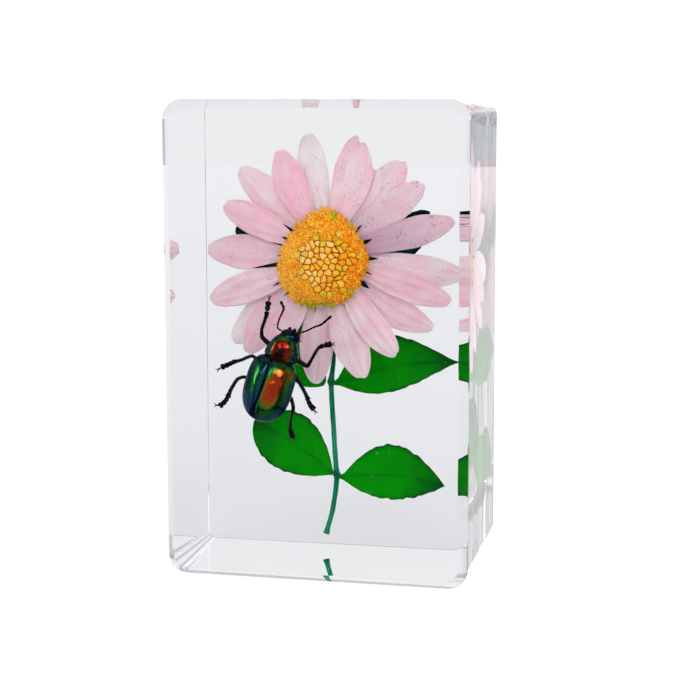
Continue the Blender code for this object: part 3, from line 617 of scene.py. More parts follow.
def packed_cells(x, z, spacing, seed):
    """Irregular cells that fill the plane, as crowded buds do.

    Their middles are a grid with every other row moved by half a step, and each is moved at random. A place
    belongs to the nearest middle, after sines of its place have shifted it a little. It gives each place's
    distance to the border, as half the difference between its two nearest middles' distances, its own middle's
    x and z, and two random numbers of its cell.
    """
    chance = np.random.default_rng(seed)
    moved = chance.uniform(-CELL_JITTER, CELL_JITTER, (CELL_COUNT, CELL_COUNT, 2))
    own = chance.random((CELL_COUNT, CELL_COUNT, 2))
    x, z = x + 0.05 * np.sin(4.3 * z + 1.7 * x), z + 0.05 * np.sin(5.1 * x - 2.3 * z)
    across, along = x / spacing, z / (CELL_ROW_STEP * spacing)
    row = np.floor(along).astype(int)
    nearest, second = np.full(x.shape, np.inf), np.full(x.shape, np.inf)
    values = np.zeros((*x.shape, 4))
    for up in (-1, 0, 1):
        at_row = row + up
        half = 0.5 * (at_row % 2)
        for aside in (-1, 0, 1):
            at_column = np.floor(across - half).astype(int) + aside
            key = (at_row % CELL_COUNT, at_column % CELL_COUNT)
            middle_x = (at_column + 0.5 + half + moved[key][..., 0]) * spacing
            middle_z = (at_row + 0.5 + moved[key][..., 1]) * CELL_ROW_STEP * spacing
            distance = np.hypot(x - middle_x, z - middle_z)
            closer = distance < nearest
            second = np.where(closer, nearest, np.minimum(second, distance))
            nearest = np.where(closer, distance, nearest)
            found = np.stack([middle_x, middle_z, own[key][..., 0], own[key][..., 1]], axis=-1)
            values = np.where(closer[..., None], found, values)
    return (second - nearest) / 2, *np.moveaxis(values, -1, 0)


def florets(centre, normal, radius, height, rings, seed):
    """Small closed bulbs, one for each centre, that stand along their normals.

    Each is a ball of unit radius, squeezed to its radius and height and to a slightly oval outline, which swells
    by a cosine of its turn, once for each lobe. Its top is drawn in at the middle. It also gives how high each
    point is on its bulb, from nought to one.
    """
    chance = np.random.default_rng(seed)
    normal = unit(normal + chance.normal(0, 0.15, normal.shape))
    first = unit(np.cross(normal, chance.normal(0, 1, normal.shape)))
    second = np.cross(normal, first)
    polar = np.linspace(0, np.pi, rings)[:, None]
    turn = full_turn(FLORET_SIDES)[None, :]
    spreads = (FLORET_SPREAD, 0.18, 0.5)
    size, oval, rough = (chance.uniform(1 - s, 1 + s, len(centre))[:, None, None] for s in spreads)
    out = radius * size * np.sin(polar)[None] * (1 + 0.13 * rough * np.cos(FLORET_LOBES * turn[None] + 6 * oval))
    up = height * size * (np.cos(polar) - 0.35 * bell(polar, 0.5))[None]
    points = (
        centre[:, None, None, :]
        + (out * oval * np.cos(turn))[..., None] * first[:, None, None, :]
        + (out / oval * np.sin(turn))[..., None] * second[:, None, None, :]
        + np.broadcast_to(up, out.shape)[..., None] * normal[:, None, None, :]
    )
    starts = np.arange(len(centre))[:, None, None] * rings * FLORET_SIDES
    quads = grid_quads(rings, FLORET_SIDES, closed=True)[None] + starts
    rise = np.broadcast_to((np.cos(polar) + 1) / 2, out.shape)
    return (points.reshape(-1, 3), quads.reshape(-1, 4)), rise.ravel()


def spiral(count):
    """Places on a sunflower spiral: each turns by the golden angle, at a distance that grows as a square root."""
    k = np.arange(count) + 0.5
    distance = np.sqrt(k / count)
    return distance * np.cos(k * GOLDEN_TURN), distance * np.sin(k * GOLDEN_TURN)


def fresh_patches(x, z):
    """How fresh and green the florets are: along the foot of the disc and in two patches at its rim."""
    foot = clamp((-z - 6.7) * 1.6) * (np.abs(x + 1.3) < 3.0)
    top = bell(x - 1.5, 0.6) * bell(z - 6.5, 0.6)
    side = bell(x - 4.4, 0.8) * bell(z + 5.6, 0.7)
    return clamp(foot + top + side)


def make_disc(settings):
    """The dome, crowded with closed buds round its middle and open florets round them, and loose florets on top.

    The dome is a polar grid. It swells over each cell of a bud or floret as a power of the distance to the
    cell's border, so that narrow gaps stay between them.
    """
    chance = np.random.default_rng(4)
    turn = full_turn(DISC_COLUMNS)[None, :]
    share = np.sin(np.pi / 2 * np.linspace(0.0, 1, DISC_ROWS) ** 1.15)[:, None]
    reach = share * disc_outline(turn)
    x, z = reach * np.cos(turn), reach * np.sin(turn)
    bud_x, bud_z = BUDS_X - FLOWER_X, BUDS_Z - FLOWER_Z
    border, middle_x, middle_z, bud_tall, bud_tone = packed_cells(x, z, settings.bud_size / MM, 11)
    right, up = middle_x - bud_x, middle_z - bud_z
    bearing = np.arctan2(up, right)
    edge = BUDS_RADIUS * (1 + 0.09 * np.sin(3 * bearing) + 0.07 * np.sin(7 * bearing) + 0.34 * (bud_tall - 0.5))
    shut = np.hypot(right / 0.93, up / 1.06) < edge
    bud_relief = (0.30 + 0.25 * bud_tall) * clamp((border - 0.02) / 0.20) ** 0.5
    ring_border, _, _, tall, tone = packed_cells(x + 40, z + 40, settings.floret_size / MM, 12)
    swell = clamp(ring_border / 0.13) ** 0.6
    lumps = 0.14 * np.sin(1.9 * x + 0.5) * np.sin(2.1 * z) + 0.08 * np.sin(4.1 * x - 3.0 * z)
    ring_relief = (0.10 + 0.30 * tall) * swell + lumps
    relief = np.where(shut, bud_relief, ring_relief) * clamp((1 - share) * 12)
    dome = points_at(FLOWER_X + x, DISC_BACK - disc_height(x, z) - relief, FLOWER_Z + z)
    back = np.broadcast_to([FLOWER_X, DISC_BACK, FLOWER_Z], (1, DISC_COLUMNS, 3))
    shapes = [grid_shape(np.concatenate([dome, back]), closed=True)]

    # How high each place stands on its bud or floret; the florets' material paints shade where it is low.
    bud_rise = clamp((border - 0.01) / 0.12) * (0.72 + 0.28 * bud_tall)
    ring_rise = 0.15 + 0.85 * swell * (0.55 + 0.45 * tall)
    # Buds to the right of the middle are riper than those on the left.
    bud_ripe = 0.40 + 0.08 * right - 0.05 * up + 0.80 * (bud_tone - 0.5)
    ring_ripe = 0.66 + 0.03 * x + 0.55 * (tone - 0.5)
    on_grid = {
        "rise": np.where(shut, bud_rise, ring_rise),
        "ripe": clamp(np.where(shut, bud_ripe, ring_ripe)),
        "green": np.where(shut, 0.4 * (bud_tall > 0.84), fresh_patches(x, z)),
    }
    marks = {name: [np.append(values, np.full(DISC_COLUMNS, 0.5))] for name, values in on_grid.items()}

    def grow(x, z, lift, tone, radius, height, rings, seed, outward=None):
        centre, normal = on_dome(x, z, lift)
        shape, heights = florets(centre, normal if outward is None else outward, radius, height, rings, seed)
        shapes.append(shape)
        marks["rise"].append(0.3 + 0.7 * heights)
        marks["ripe"].append(np.repeat(clamp(tone), rings * FLORET_SIDES))
        marks["green"].append(np.repeat(fresh_patches(x, z), rings * FLORET_SIDES))

    x, z = spiral(settings.floret_count)
    reach = disc_outline(np.arctan2(z, x))
    x, z = (v * reach + chance.normal(0, 0.12, len(v)) for v in (x, z))
    open_ones = np.hypot(x - bud_x, z - bud_z) > BUDS_RADIUS * 1.12
    x, z = x[open_ones], z[open_ones]
    tone = 0.62 + 0.03 * x + chance.normal(0, 0.20, len(x))
    grow(x, z, 0.12 + chance.normal(0, 0.10, len(x)), tone, 0.20, 0.26, 5, 2)

    # The outermost florets lie flat and point outwards.
    turn = full_turn(RIM_FLORETS) + chance.normal(0, 0.02, RIM_FLORETS)
    reach = disc_outline(turn) * chance.uniform(0.95, 1.02, RIM_FLORETS)
    x, z = reach * np.cos(turn), reach * np.sin(turn)
    outward = points_at(np.cos(turn), -0.4, np.sin(turn))
    grow(x, z, 0.15, 0.62 + chance.normal(0, 0.15, RIM_FLORETS), 0.17, 0.5, 6, 3, outward)

    marks = {name: np.concatenate(values) for name, values in marks.items()}
    make_piece("flower_disc_florets", "flower_disc", "florets", stack(*shapes), floret_material(), marks)


def green_material(name, stops, specks, gloss):
    """Pressed leaf or stem tissue: dull and soft, with a darker edge and veins, and fine pale specks of dust."""
    material, add = empty_tree(bpy.data.materials.new(name))
    place = add("TexCoord", output="Object")
    dark = add("Attribute", output="Fac", attribute_name="dark")
    # Patches some 4 mm across.
    patches = add("TexNoise", {"Vector": place, "Scale": 260.0, "Detail": 4.0})
    lift = add("MapRange", {0: patches, 1: 0.3, 2: 0.7, 3: -0.12, 4: 0.12})
    tint = add("ValToRGB", {0: add("Math", {0: dark, 1: lift}, operation="ADD", use_clamp=True)}, stops=stops)
    # Cells of the tissue, about 0.3 mm across.
    cells = add("TexVoronoi", {"Vector": place, "Scale": 3000.0}, feature="F1")
    cell_tone = add("MapRange", {0: cells, 1: 0.0, 2: 0.9, 3: 1.06, 4: 0.88})
    toned = add("Mix", {0: 1.0, 6: tint, 7: cell_tone}, output=2, data_type="RGBA", blend_type="MULTIPLY")
    grain = add("TexNoise", {"Vector": place, "Scale": 3300.0, "Detail": 1.0})
    speck = add("MapRange", {0: grain, 1: 0.74, 2: 0.80, 3: 0.0, 4: specks})
    colour = add("Mix", {0: speck, 6: toned, 7: linear("#8FC7A0")}, output=2, data_type="RGBA")
    bump = add("Bump", {"Height": cells, "Strength": 0.4, "Distance": 0.00005})
    shader = add("BsdfPrincipled", {
        "Base Color": colour, "Roughness": gloss, "Specular IOR Level": 0.02, "Normal": bump,
    })
    add("OutputMaterial", {"Surface": shader})
    return material


def make_calyx():
    """A cup turned round the flower's axis, with a ring of pointed sepals that spread behind the petals.

    The cup's radius falls from front to back as a power of the cosine, and waves a little round it. A sepal's
    width falls as one less a power of the way to its tip.
    """
    u = np.linspace(0, 1, CALYX_ROWS)[:, None]
    turn = full_turn(CALYX_SIDES)[None, :]
    radius = CALYX_NECK_RADIUS + (CALYX_RADIUS - CALYX_NECK_RADIUS) * np.cos(np.pi / 2 * u) ** 0.8
    radius = radius * (1 + 0.03 * np.cos(17 * turn))
    start = CALYX_FRONT + CUP_SET_BACK
    depth = start + (CALYX_BACK - CALYX_FRONT) * u**1.1
    cup = points_at(FLOWER_X + radius * np.cos(turn), depth, FLOWER_Z + radius * np.sin(turn))
    front, back = (np.broadcast_to([FLOWER_X, y, FLOWER_Z], (1, CALYX_SIDES, 3)) for y in (start, CALYX_BACK))
    shapes = [grid_shape(np.concatenate([front, cup, back]), closed=True)]
    dark = [np.full(len(shapes[0][0]), 0.6)]
    t = np.linspace(0, 1, CALYX_ROWS)
    hidden = [(*sepal, CALYX_RADIUS - 1.2, CALYX_FRONT + 0.35 - 0.2 * t) for sepal in SEPALS]
    seen = [(*sepal, CALYX_RADIUS + 0.6, np.full(CALYX_ROWS, DISC_BACK + 0.15)) for sepal in SEPAL_TIPS]
    for angle, reach, half_width, inner, depth in hidden + seen:
        x, z = turned(inner + (reach - inner) * t, 0.0, angle)
        width = half_width * (1 - t**1.7) * 0.95 + 0.02
        route = np.stack([FLOWER_X + x, depth, FLOWER_Z + z, width], axis=1)
        shapes.append(tube(route, SEPAL_SIDES, flatten=0.12))
        dark.append(np.repeat(np.concatenate([[0.7], 0.7 + 0.3 * t, [1.0]]), SEPAL_SIDES))
    material = green_material("dried_sepals", ((0.0, "#2E6B3A"), (1.0, "#060D0A"), (0.6, "#123322")), 0.2, 0.6)
    marks = {"dark": np.concatenate(dark)}
    make_piece("calyx_and_sepals", "calyx", "calyx", stack(*shapes), material, marks)


def make_stem():
    """The ribbed stem, with its swollen joints and its cut end."""
    route = smooth_path(STEM_ROUTE, 8)
    height = route[:, 2]
    route[:, 3] *= STEM_RADIUS * (1 + 0.03 * np.sin(height * 2.1) + 0.02 * np.sin(height * 5.3))
    turn = np.tile(full_turn(STEM_SIDES), len(route) + 2)
    joints = sum(bell(height - joint, 0.8) for joint in STEM_JOINTS)
    shade = np.concatenate([[0.6], 0.25 + 0.3 * joints + 0.2 * (height > 29), [0.6]])
    dark = np.repeat(shade, STEM_SIDES) + 0.14 * np.cos(STEM_RIBS * turn + np.pi)
    material = green_material("dried_stem", ((0.0, "#2F9E72"), (1.0, "#04281C"), (0.4, "#04704A")), 0.35, 0.5)
    shape = tube(route, STEM_SIDES, STEM_RIBS, rib_depth=0.06)
    make_piece("stem_ribbed", "stem", "stem", shape, material, {"dark": dark})


def leaf_surface(base, angle, length, left, right, bow, skew, fullness, depth, ragged, stalk):
    """A leaf as a sheet: u runs from its base to its tip and v from its right edge to its left.

    The half width is a power of the sine of half a turn of u, itself raised to a power. The edge is cut into
    teeth by a saw of u and made ragged by sums of sines. The midrib bows as the sine of half a turn of u. The
    blade dips along the midrib and along side veins that slant forward from it, and its edges rise. It also
    gives how dark each point is.
    """
    u = (np.sin(np.pi * (np.linspace(0, 1, LEAF_ROWS) - 0.5)) + 1)[:, None] / 2
    v = np.linspace(-1, 1, LEAF_COLUMNS)[None, :]
    share = np.maximum(np.sin(np.pi * u**skew), 0) ** fullness
    seed = np.radians(3.0 * angle) + length
    teeth = np.abs(((u * LEAF_TEETH + 0.5) % 1.0) - 0.35) - 0.3
    rough = teeth + 0.5 * np.sin(61 * u + seed + 2 * np.sign(v)) + 0.5 * np.sin(37 * u * (1 + 0.1 * v) + 2 * seed)
    outer = ragged * 0.32 * np.abs(v) ** 6 * rough * np.sin(np.pi * u) * (0.35 + u)
    width = np.where(v > 0, left, right) * share
    side = width * v + np.sign(v) * outer + bow * np.sin(np.pi * u)
    along = length * u
    if stalk:
        # The first rows are a narrow stalk that reaches back to the stem.
        along = along - stalk * clamp(1 - u / 0.02)
        side = side + 0.17 * v * clamp(1 - u / 0.06)
    slant = (u * LEAF_SIDE_VEINS - np.abs(v) * 1.5) % 1.0
    vein = bell(slant - 0.5, 0.07) * clamp(1 - np.abs(v) ** 3) * clamp(share * 3 - 0.6)
    midrib = bell(width * v, 0.16) * (1 - u) ** 0.35
    rim = clamp((np.abs(v) - 0.86) / 0.14) ** 1.5
    tip = clamp((u - 0.5) / 0.5) ** 1.3
    cup = LEAF_CUP * np.abs(v) ** 1.4 * share
    relief = 0.10 * midrib + 0.035 * vein + 0.05 * np.sin(7 * u + 3 * v + seed)
    x, z = turned(along, side, angle)
    dark = clamp(0.26 + 0.35 * midrib + 0.10 * vein + 0.65 * rim + 0.42 * tip)
    return grid_shape(points_at(base[0] + x, depth - cup + relief, base[1] + z)), dark.ravel()


def make_leaves(settings):
    """The four leaves on the stem, and the two whose ends show behind the petals, painted darker as shade."""
    lit = green_material(
        "pressed_leaf", ((0.0, "#009A05"), (1.0, "#0B3222"), (0.35, "#008A00"), (0.62, "#016410")), 0.8, 0.55
    )
    # Painted shade: the leaves behind the petals get a darker copy of the leaf material.
    shaded = green_material("pressed_leaf_behind", ((0.0, "#0B4A33"), (1.0, "#02100B"), (0.4, "#04281C")), 0.3, 0.6)
    for name, values in LEAVES.items():
        shape, dark = leaf_surface(*values)
        material = shaded if "behind" in name else lit
        thickness = settings.leaf_thickness
        make_piece(f"{name}_pressed", name, "leaf", shape, material, {"dark": dark}, thickness=thickness)


def on_beetle(along, side, height):
    """Places of the beetle's own frame, along its body, to its right and up, as points of the block's frame."""
    x, z = turned(side, along, -BEETLE_TILT)
    return points_at(BEETLE_REAR[0] + x, BEETLE_DEPTH - height, BEETLE_REAR[1] + z)


def shell_material(name, stops, rough, coat=0.12):
    """A leaf beetle's cuticle: glassy over a metallic sheen, whose colour changes in zones from patch to rim.

    Fine pits, 0.12 mm apart, cover it.
    """
    material, add = empty_tree(bpy.data.materials.new(name))
    place = add("TexCoord", output="Object")
    zone = add("Attribute", output="Fac", attribute_name="zone")
    # The zones' borders waver over 1 mm.
    drift = add("TexNoise", {"Vector": place, "Scale": 900.0, "Detail": 3.0})
    shift = add("MapRange", {0: drift, 1: 0.3, 2: 0.7, 3: -0.05, 4: 0.05})
    tint = add("ValToRGB", {0: add("Math", {0: zone, 1: shift}, operation="ADD", use_clamp=True)}, stops=stops)
    pits = add("TexVoronoi", {"Vector": place, "Scale": 8000.0}, feature="F1")
    bump = add("Bump", {"Height": pits, "Strength": 0.10, "Distance": 0.00003})
    shader = add("BsdfPrincipled", {
        "Base Color": tint, "Metallic": 0.85, "Roughness": rough, "Specular IOR Level": 0.1,
        "Coat Weight": coat, "Coat Roughness": 0.03, "Normal": bump,
    })
    add("OutputMaterial", {"Surface": shader})
    return material


def make_beetle_piece(name, shape, material, zone, thickness=0.0):
    """A piece of the beetle, whose zone picks its colour."""
    make_piece(name, "beetle", "beetle_shell", shape, material, {"zone": zone}, thickness=thickness)


def bulb(along, side, half_length, half_width, above, below, squareness, narrowing, rows=24, columns=40):
    """A flattened ball in the beetle's frame, squarish in outline, higher above than below.

    polar runs from its top to its bottom. The outline raises cosine and sine of the turn to two over the
    squareness, its width shrinks evenly towards the head, and the height is the cosine of polar. It also gives
    each point's place along and across the body, and whether it is on the underside.
    """
    polar = np.linspace(0, np.pi, rows)[:, None]
    turn = full_turn(columns)[None, :]
    across, forward = (np.sign(v) * np.abs(v) ** (2 / squareness) for v in (np.cos(turn), np.sin(turn)))
    up = np.cos(polar)
    a = np.sin(polar) * forward
    s = np.sin(polar) * across * (1 - narrowing * a)
    length, width = along + half_length * a, side + half_width * s
    shape = grid_shape(on_beetle(length, width, np.where(up > 0, above, below) * up), closed=True)
    return shape, length.ravel(), width.ravel(), np.broadcast_to(up < -0.02, s.shape).ravel()


def oval(along, side, middle, direction, half_length, half_width):
    """How far a place on the body is from the middle of a slanting oval patch, where 1 is the patch's edge."""
    a, b = turned(along - middle[0], side - middle[1], -direction)
    return np.hypot(a / half_length, b / half_width)


def make_wing_cases(gloss):
    """Both wing cases, each a shell from the seam down the back to a rim that turns under.

    The outline is a squarish oval, squarer in front. Across it, the side is its width times the sine of a turn
    and the height falls as the cosine, with a groove along the seam, which wanders a little.
    """
    x = np.sin(np.pi / 2 * np.linspace(-1, 1, WING_ROWS))[:, None]
    square = np.where(x > 0, 3.6, 2.2)
    width = np.maximum(WING_HALF_WIDTH * (1 - np.abs(x) ** square) ** (1 / square), 1e-4)
    height = WING_HEIGHT * (1 - np.abs(x) ** np.where(x > 0, 6.0, 2.4)) ** 0.5
    along = WING_MIDDLE + WING_HALF_LENGTH * x
    seam = -0.3 - 0.35 * bell(along - 2.8, 1.6) + 0.5 * bell(along - 0.3, 0.9)
    seam_turn = np.arcsin(np.clip((seam - WING_ASIDE) / width, -0.9, 0.9))
    t = np.linspace(0, 1, WING_COLUMNS)[None, :]
    shapes, zones = [], []
    for hand in (1.0, -1.0):
        turn = seam_turn + t * (hand * WING_TURN_UNDER - seam_turn)
        side = WING_ASIDE + width * np.sin(turn) + 0.02 * hand
        from_seam = np.abs(side - seam)
        groove = 0.30 * bell(from_seam, 0.2) * clamp(height)
        dents = sum(deep * bell(oval(along, side, place, 0.0, wide, wide), 1.0) for place, wide, deep in DENTS)
        shapes.append(grid_shape(on_beetle(along, side, height * np.cos(turn) - groove + dents)))
        # The right case glows red in its middle. The left one is seen at another slant and starts at green.
        if hand > 0:
            zone = np.minimum(
                0.34 * oval(along, side, (6.5, 1.5), 10.0, 3.3, 1.35),
                0.12 + 0.30 * oval(along, side, (9.1, 3.3), 20.0, 0.9, 0.55),
            )
        else:
            zone = 0.40 + 0.19 * oval(along, side, (7.4, -1.9), 6.0, 3.2, 1.0)
        dark_rim = clamp((np.abs(turn) - 1.05) / 0.5)
        zone = np.maximum(np.minimum(zone, 0.84), 0.9 * bell(from_seam, 0.28))
        zones.append(clamp(np.maximum(zone, dark_rim)).ravel())
    stops = (
        (0.0, "#821A05"), (1.0, "#01020A"), (0.22, "#8E2A05"), (0.33, "#66500A"), (0.42, "#0A5E10"),
        (0.54, "#03402E"), (0.68, "#042C4C"), (0.84, "#05164A"),
    )
    material = shell_material("iridescent_wing_cases", stops, gloss)
    make_beetle_piece("beetle_wing_cases", stack(*shapes), material, np.concatenate(zones), WING_THICKNESS * MM)


def make_body(gloss):
    """The shield behind the head, the head with its eyes and jaws, and the belly under the wing cases."""
    shield, along, side, under = bulb(*SHIELD)
    zone = np.where(under, 1.0, clamp(0.6 * oval(along, side, (12.15, 0.85), 0.0, 2.2, 1.8)))
    stops = (
        (0.07, "#050103"), (1.0, "#01020A"), (0.20, "#3A0603"), (0.34, "#721404"), (0.48, "#7A2605"),
        (0.54, "#585408"), (0.60, "#0A5A18"), (0.70, "#033C38"), (0.84, "#05163A"),
    )
    make_beetle_piece("beetle_shield", shield, shell_material("iridescent_shield", stops, gloss), zone)

    head, along, side, under = bulb(*HEAD)
    head_zone = np.where(under, 1.0, 0.35 + 0.5 * oval(along, side, (14.4, 1.1), 0.0, 1.25, 1.5))
    belly = bulb(*BELLY)[0]
    small = [
        bulb(HEAD[0] + ahead, HEAD[1] + hand * aside, *rest)[0]
        for ahead, aside, *rest in (EYE, JAW) for hand in (1, -1)
    ]
    zones = [clamp(head_zone), np.full(len(belly[0]), 0.93), np.full(sum(len(points) for points, _ in small), 1.0)]
    stops = ((0.0, "#083A26"), (1.0, "#010206"), (0.4, "#032426"), (0.7, "#040E28"))
    material = shell_material("blue_black_cuticle", stops, gloss + 0.06)
    make_beetle_piece("beetle_head_and_belly", stack(head, belly, *small), material, np.concatenate(zones))


def spike(start, tip, radius):
    """A short cone from start to tip."""
    steps = np.array([[0.0], [0.5], [1.0]])
    width = radius * np.array([[1.0], [0.65], [0.1]])
    return tube(np.hstack([start + (tip - start) * steps, width]), 6)


def leg_shape(points, ankle):
    """A leg: a thick thigh, a ridged shin that flares at the ankle and bears spines, and a lobed, clawed foot.

    The route lies between a smooth curve and straight lines through the points, so that the knees stay sharp.
    Each of the foot's first three joints is a pair of egg-shaped pads that spread from the middle line: their
    radius is a root of one less the squared place along them.
    """
    route = smooth_path(points, LEG_STEPS)
    along = np.linspace(0, len(points) - 1, len(route))
    straight = np.stack([np.interp(along, np.arange(len(points)), values) for values in zip(*points)], axis=1)
    route = 0.4 * route + 0.6 * straight
    at_ankle = ankle * LEG_STEPS
    shin = route[:at_ankle + 1].copy()
    from_ankle = np.arange(len(shin))[::-1] / LEG_STEPS
    shin[:, 3] *= 0.84 + 0.35 * bell(from_ankle, 0.25)
    shapes = [tube(shin, 14, ribs=5, rib_depth=0.07)]
    ahead = unit(np.gradient(route[:, :3], axis=0))
    out = np.cross(ahead, [0.0, 1.0, 0.0])
    for row in range((ankle - 2) * LEG_STEPS, at_ankle, 2):
        hand = 1 if row % 4 else -1
        start = route[row, :3] + out[row] * route[row, 3] * 0.8 * hand
        shapes.append(spike(start, start + (out[row] * hand * 0.8 + ahead[row]) * 0.2, 0.05))
    s = np.linspace(-1, 1, 9)[:, None]
    for number, share in enumerate(PAD_PLACES):
        row = at_ankle + int(share * (len(route) - 1 - at_ankle))
        for hand in (1, -1):
            way = ahead[row] + out[row] * 0.35 * hand
            centre = route[row, :3] + out[row] * (0.14 + 0.03 * number) * hand
            width = (0.24 + 0.02 * number) * np.sqrt(1 - 0.98 * s**2)
            shapes.append(tube(np.hstack([centre + way * 0.40 * s, width]), 10, flatten=0.7))
    last = route[at_ankle:].copy()
    last[:, 3] = 0.13
    shapes.append(tube(last, 8))
    bend = np.linspace(0, 1, 7)[:, None]
    for hand in (1, -1):
        claw = route[-1, :3] + ahead[-1] * 0.42 * bend + out[-1] * hand * (0.06 + 0.24 * np.sin(2.2 * bend))
        shapes.append(tube(np.hstack([claw, 0.085 * (1.1 - bend)]), 6))
    return stack(*shapes)


def antenna_shape(points):
    """An antenna: a tube whose radius swells into eleven beads, as a sine's size does, and grows to its tip."""
    route = smooth_path(points, 16)
    t = np.linspace(0, 1, len(route))
    route[:, 3] *= (0.72 + 0.4 * np.abs(np.sin(11 * np.pi * t)) ** 0.8) * (0.9 + 0.25 * t)
    return tube(route, 10)


def make_limbs(gloss):
    """Six legs, two beaded antennae and the orange feelers beside the jaws."""
    legs = stack(*(leg_shape(points, ankle) for ankle, points in LEGS))
    antennae = stack(*(antenna_shape(points) for points in ANTENNAE))
    # The antennae are browner than the legs.
    zone = np.concatenate([np.full(len(legs[0]), 0.55), np.full(len(antennae[0]), 0.8)])
    stops = ((0.0, "#0B3A30"), (1.0, "#12060C"), (0.5, "#04060A"), (0.75, "#0C0409"))
    chitin = shell_material("leg_chitin", stops, gloss + 0.2, coat=0.03)
    make_beetle_piece("beetle_legs_and_antennae", stack(legs, antennae), chitin, zone)
    amber = shell_material("amber_feelers", ((0.0, "#D06A20"), (1.0, "#6A2408")), gloss + 0.18)
    make_beetle_piece("beetle_feelers", tube(FEELER, 8), amber, 0.2)


def make_floor(settings):
    """A square floor of lit white acrylic: it glows evenly, so only faint shadows show on it."""
    half = settings.floor_size / 2
    mesh = bpy.data.meshes.new("studio_floor")
    corners = [(x * half, y * half, FLOOR_HEIGHT * MM) for x, y in ((-1, -1), (1, -1), (1, 1), (-1, 1))]
    mesh.from_pydata(corners, [], [(0, 1, 2, 3)])
    floor = bpy.data.objects.new("studio_floor", mesh)
    bpy.context.scene.collection.objects.link(floor)
    material, add = empty_tree(bpy.data.materials.new("lit_white_acrylic"))
    place = add("TexCoord", output="Object")
    # Grains 1 mm across.
    grain = add("TexNoise", {"Vector": place, "Scale": 900.0, "Detail": 3.0})
    tone = add("ValToRGB", {0: grain}, stops=((0.3, "#6C6C6C"), (0.7, "#707070")))
    # It glows a little more towards its far end, and less far out to the right, beyond the camera's sight.
    x, y, _ = add("SeparateXYZ", {0: place}).node.outputs
    glow = settings.floor_glow * settings.brightness
    far = add("MapRange", {0: y, 1: 0.0, 2: 1.2, 3: glow * 0.93, 4: glow * 0.975})
    beyond = add("Math", {0: y, 1: -0.5, 2: x}, operation="MULTIPLY_ADD")
    right = add("MapRange", {0: beyond, 1: 0.07, 2: 0.15, 3: 1.0, 4: 0.2})
    shader = add("BsdfPrincipled", {
        "Base Color": tone, "Roughness": 0.9, "Specular IOR Level": 0.1, "Emission Color": WHITE,
        "Emission Strength": add("Math", {0: far, 1: right}, operation="MULTIPLY"),
    })
    add("OutputMaterial", {"Surface": shader})
    mesh.materials.append(material)


def make_studio(settings):
    """A pale studio all round with greyer sides, brighter in front, and two soft lights."""
    world, add = empty_tree(bpy.data.worlds.new("pale_studio"))
    way = add("TexCoord")
    x, y, z = add("SeparateXYZ", {0: way}).node.outputs
    # Round the block: white behind it but for a grey card just out of the camera's sight, greyer to both sides.
    bearing = add("Math", {0: x, 1: y}, operation="ARCTAN2")
    circle = add("Math", {0: bearing, 1: 0.5 / np.pi, 2: 0.5}, operation="MULTIPLY_ADD")
    across = add("ValToRGB", {0: circle}, stops=(
        (0.0, "#E0E0E2"), (1.0, "#E0E0E2"), (0.25, "#B4B4B8"), (0.375, "#B4B4B8"), (0.415, "#FFFFFF"),
        (0.511, "#FFFFFF"), (0.516, "#CDCFD6"), (0.533, "#CDCFD6"), (0.540, "#FFFFFF"),
        (0.585, "#FFFFFF"), (0.615, "#707074"), (0.66, "#707074"), (0.75, "#D0D0D4"),
    ))
    # From the horizon up: white in the camera's sight, a greyer strip above it, and brightest overhead.
    up = add("ValToRGB", {0: z}, stops=(
        (0.0, 0.67), (1.0, 1.0), (0.135, 0.67), (0.155, 0.42), (0.23, 0.42), (0.28, 0.64),
    ))
    up = add("Math", {0: up, 1: 1.5}, operation="MULTIPLY")
    facing = add("MapRange", {0: y, 1: 0.0, 2: -0.8, 3: 0.0, 4: settings.front})
    # The front light starts a little above the horizon, is strongest low down and fades overhead.
    low = add("ValToRGB", {0: z}, stops=((0.03, 0.12), (0.8, 0.15), (0.09, 1.0), (0.2, 1.0)))
    # It leaves out two upright strips, whose light would come out at the lower end of the block's right side.
    round_front = add("Math", {0: x, 1: 0.5, 2: 0.5}, operation="MULTIPLY_ADD")
    strips = add("ValToRGB", {0: round_front}, stops=(
        (0.125, 0.1), (0.52, 1.0), (0.2, 1.0), (0.33, 1.0), (0.36, 0.1), (0.49, 0.1),
    ))
    low = add("Math", {0: strips, 1: low}, operation="MULTIPLY")
    ahead = add("Math", {0: facing, 1: low}, operation="MULTIPLY")
    total = add("Math", {0: up, 1: ahead}, operation="ADD")
    for direction, strength in (((-0.50, -0.83, 0.24), settings.key), ((0.64, -0.73, 0.24), settings.key * 0.9)):
        # A round soft light: the studio glows within 9 degrees of its direction and fades out by 18.
        towards = add("VectorMath", {0: way, 1: direction}, output="Value", operation="DOT_PRODUCT")
        reach = {0: towards, 1: 0.951, 2: 0.988, 3: 0.0, 4: strength}
        soft = add("MapRange", reach, interpolation_type="SMOOTHSTEP")
        total = add("Math", {0: total, 1: soft}, operation="ADD")
    strength = add("Math", {0: total, 1: settings.brightness}, operation="MULTIPLY")
    glow = add("Background", {"Color": across, "Strength": strength})
    add("OutputWorld", {"Surface": glow}, is_active_output=True)
    bpy.context.scene.world = world


def make_camera():
    """The camera at the photograph's viewing angle."""
    camera = bpy.data.objects.new("camera", bpy.data.cameras.new("camera"))
    camera.location = np.array(CAMERA_PLACE) * MM
    camera.rotation_mode = "XYZ"
    camera.rotation_euler = np.radians((CAMERA_PITCH, CAMERA_ROLL, CAMERA_YAW))
    camera.data.lens, camera.data.sensor_width = CAMERA_LENS, CAMERA_SENSOR
    camera.data.shift_x, camera.data.shift_y = CAMERA_SHIFT
    camera.data.clip_start = 0.01
    bpy.context.scene.collection.objects.link(camera)
    bpy.context.scene.camera = camera
    bpy.context.scene.view_settings.view_transform = "Standard"


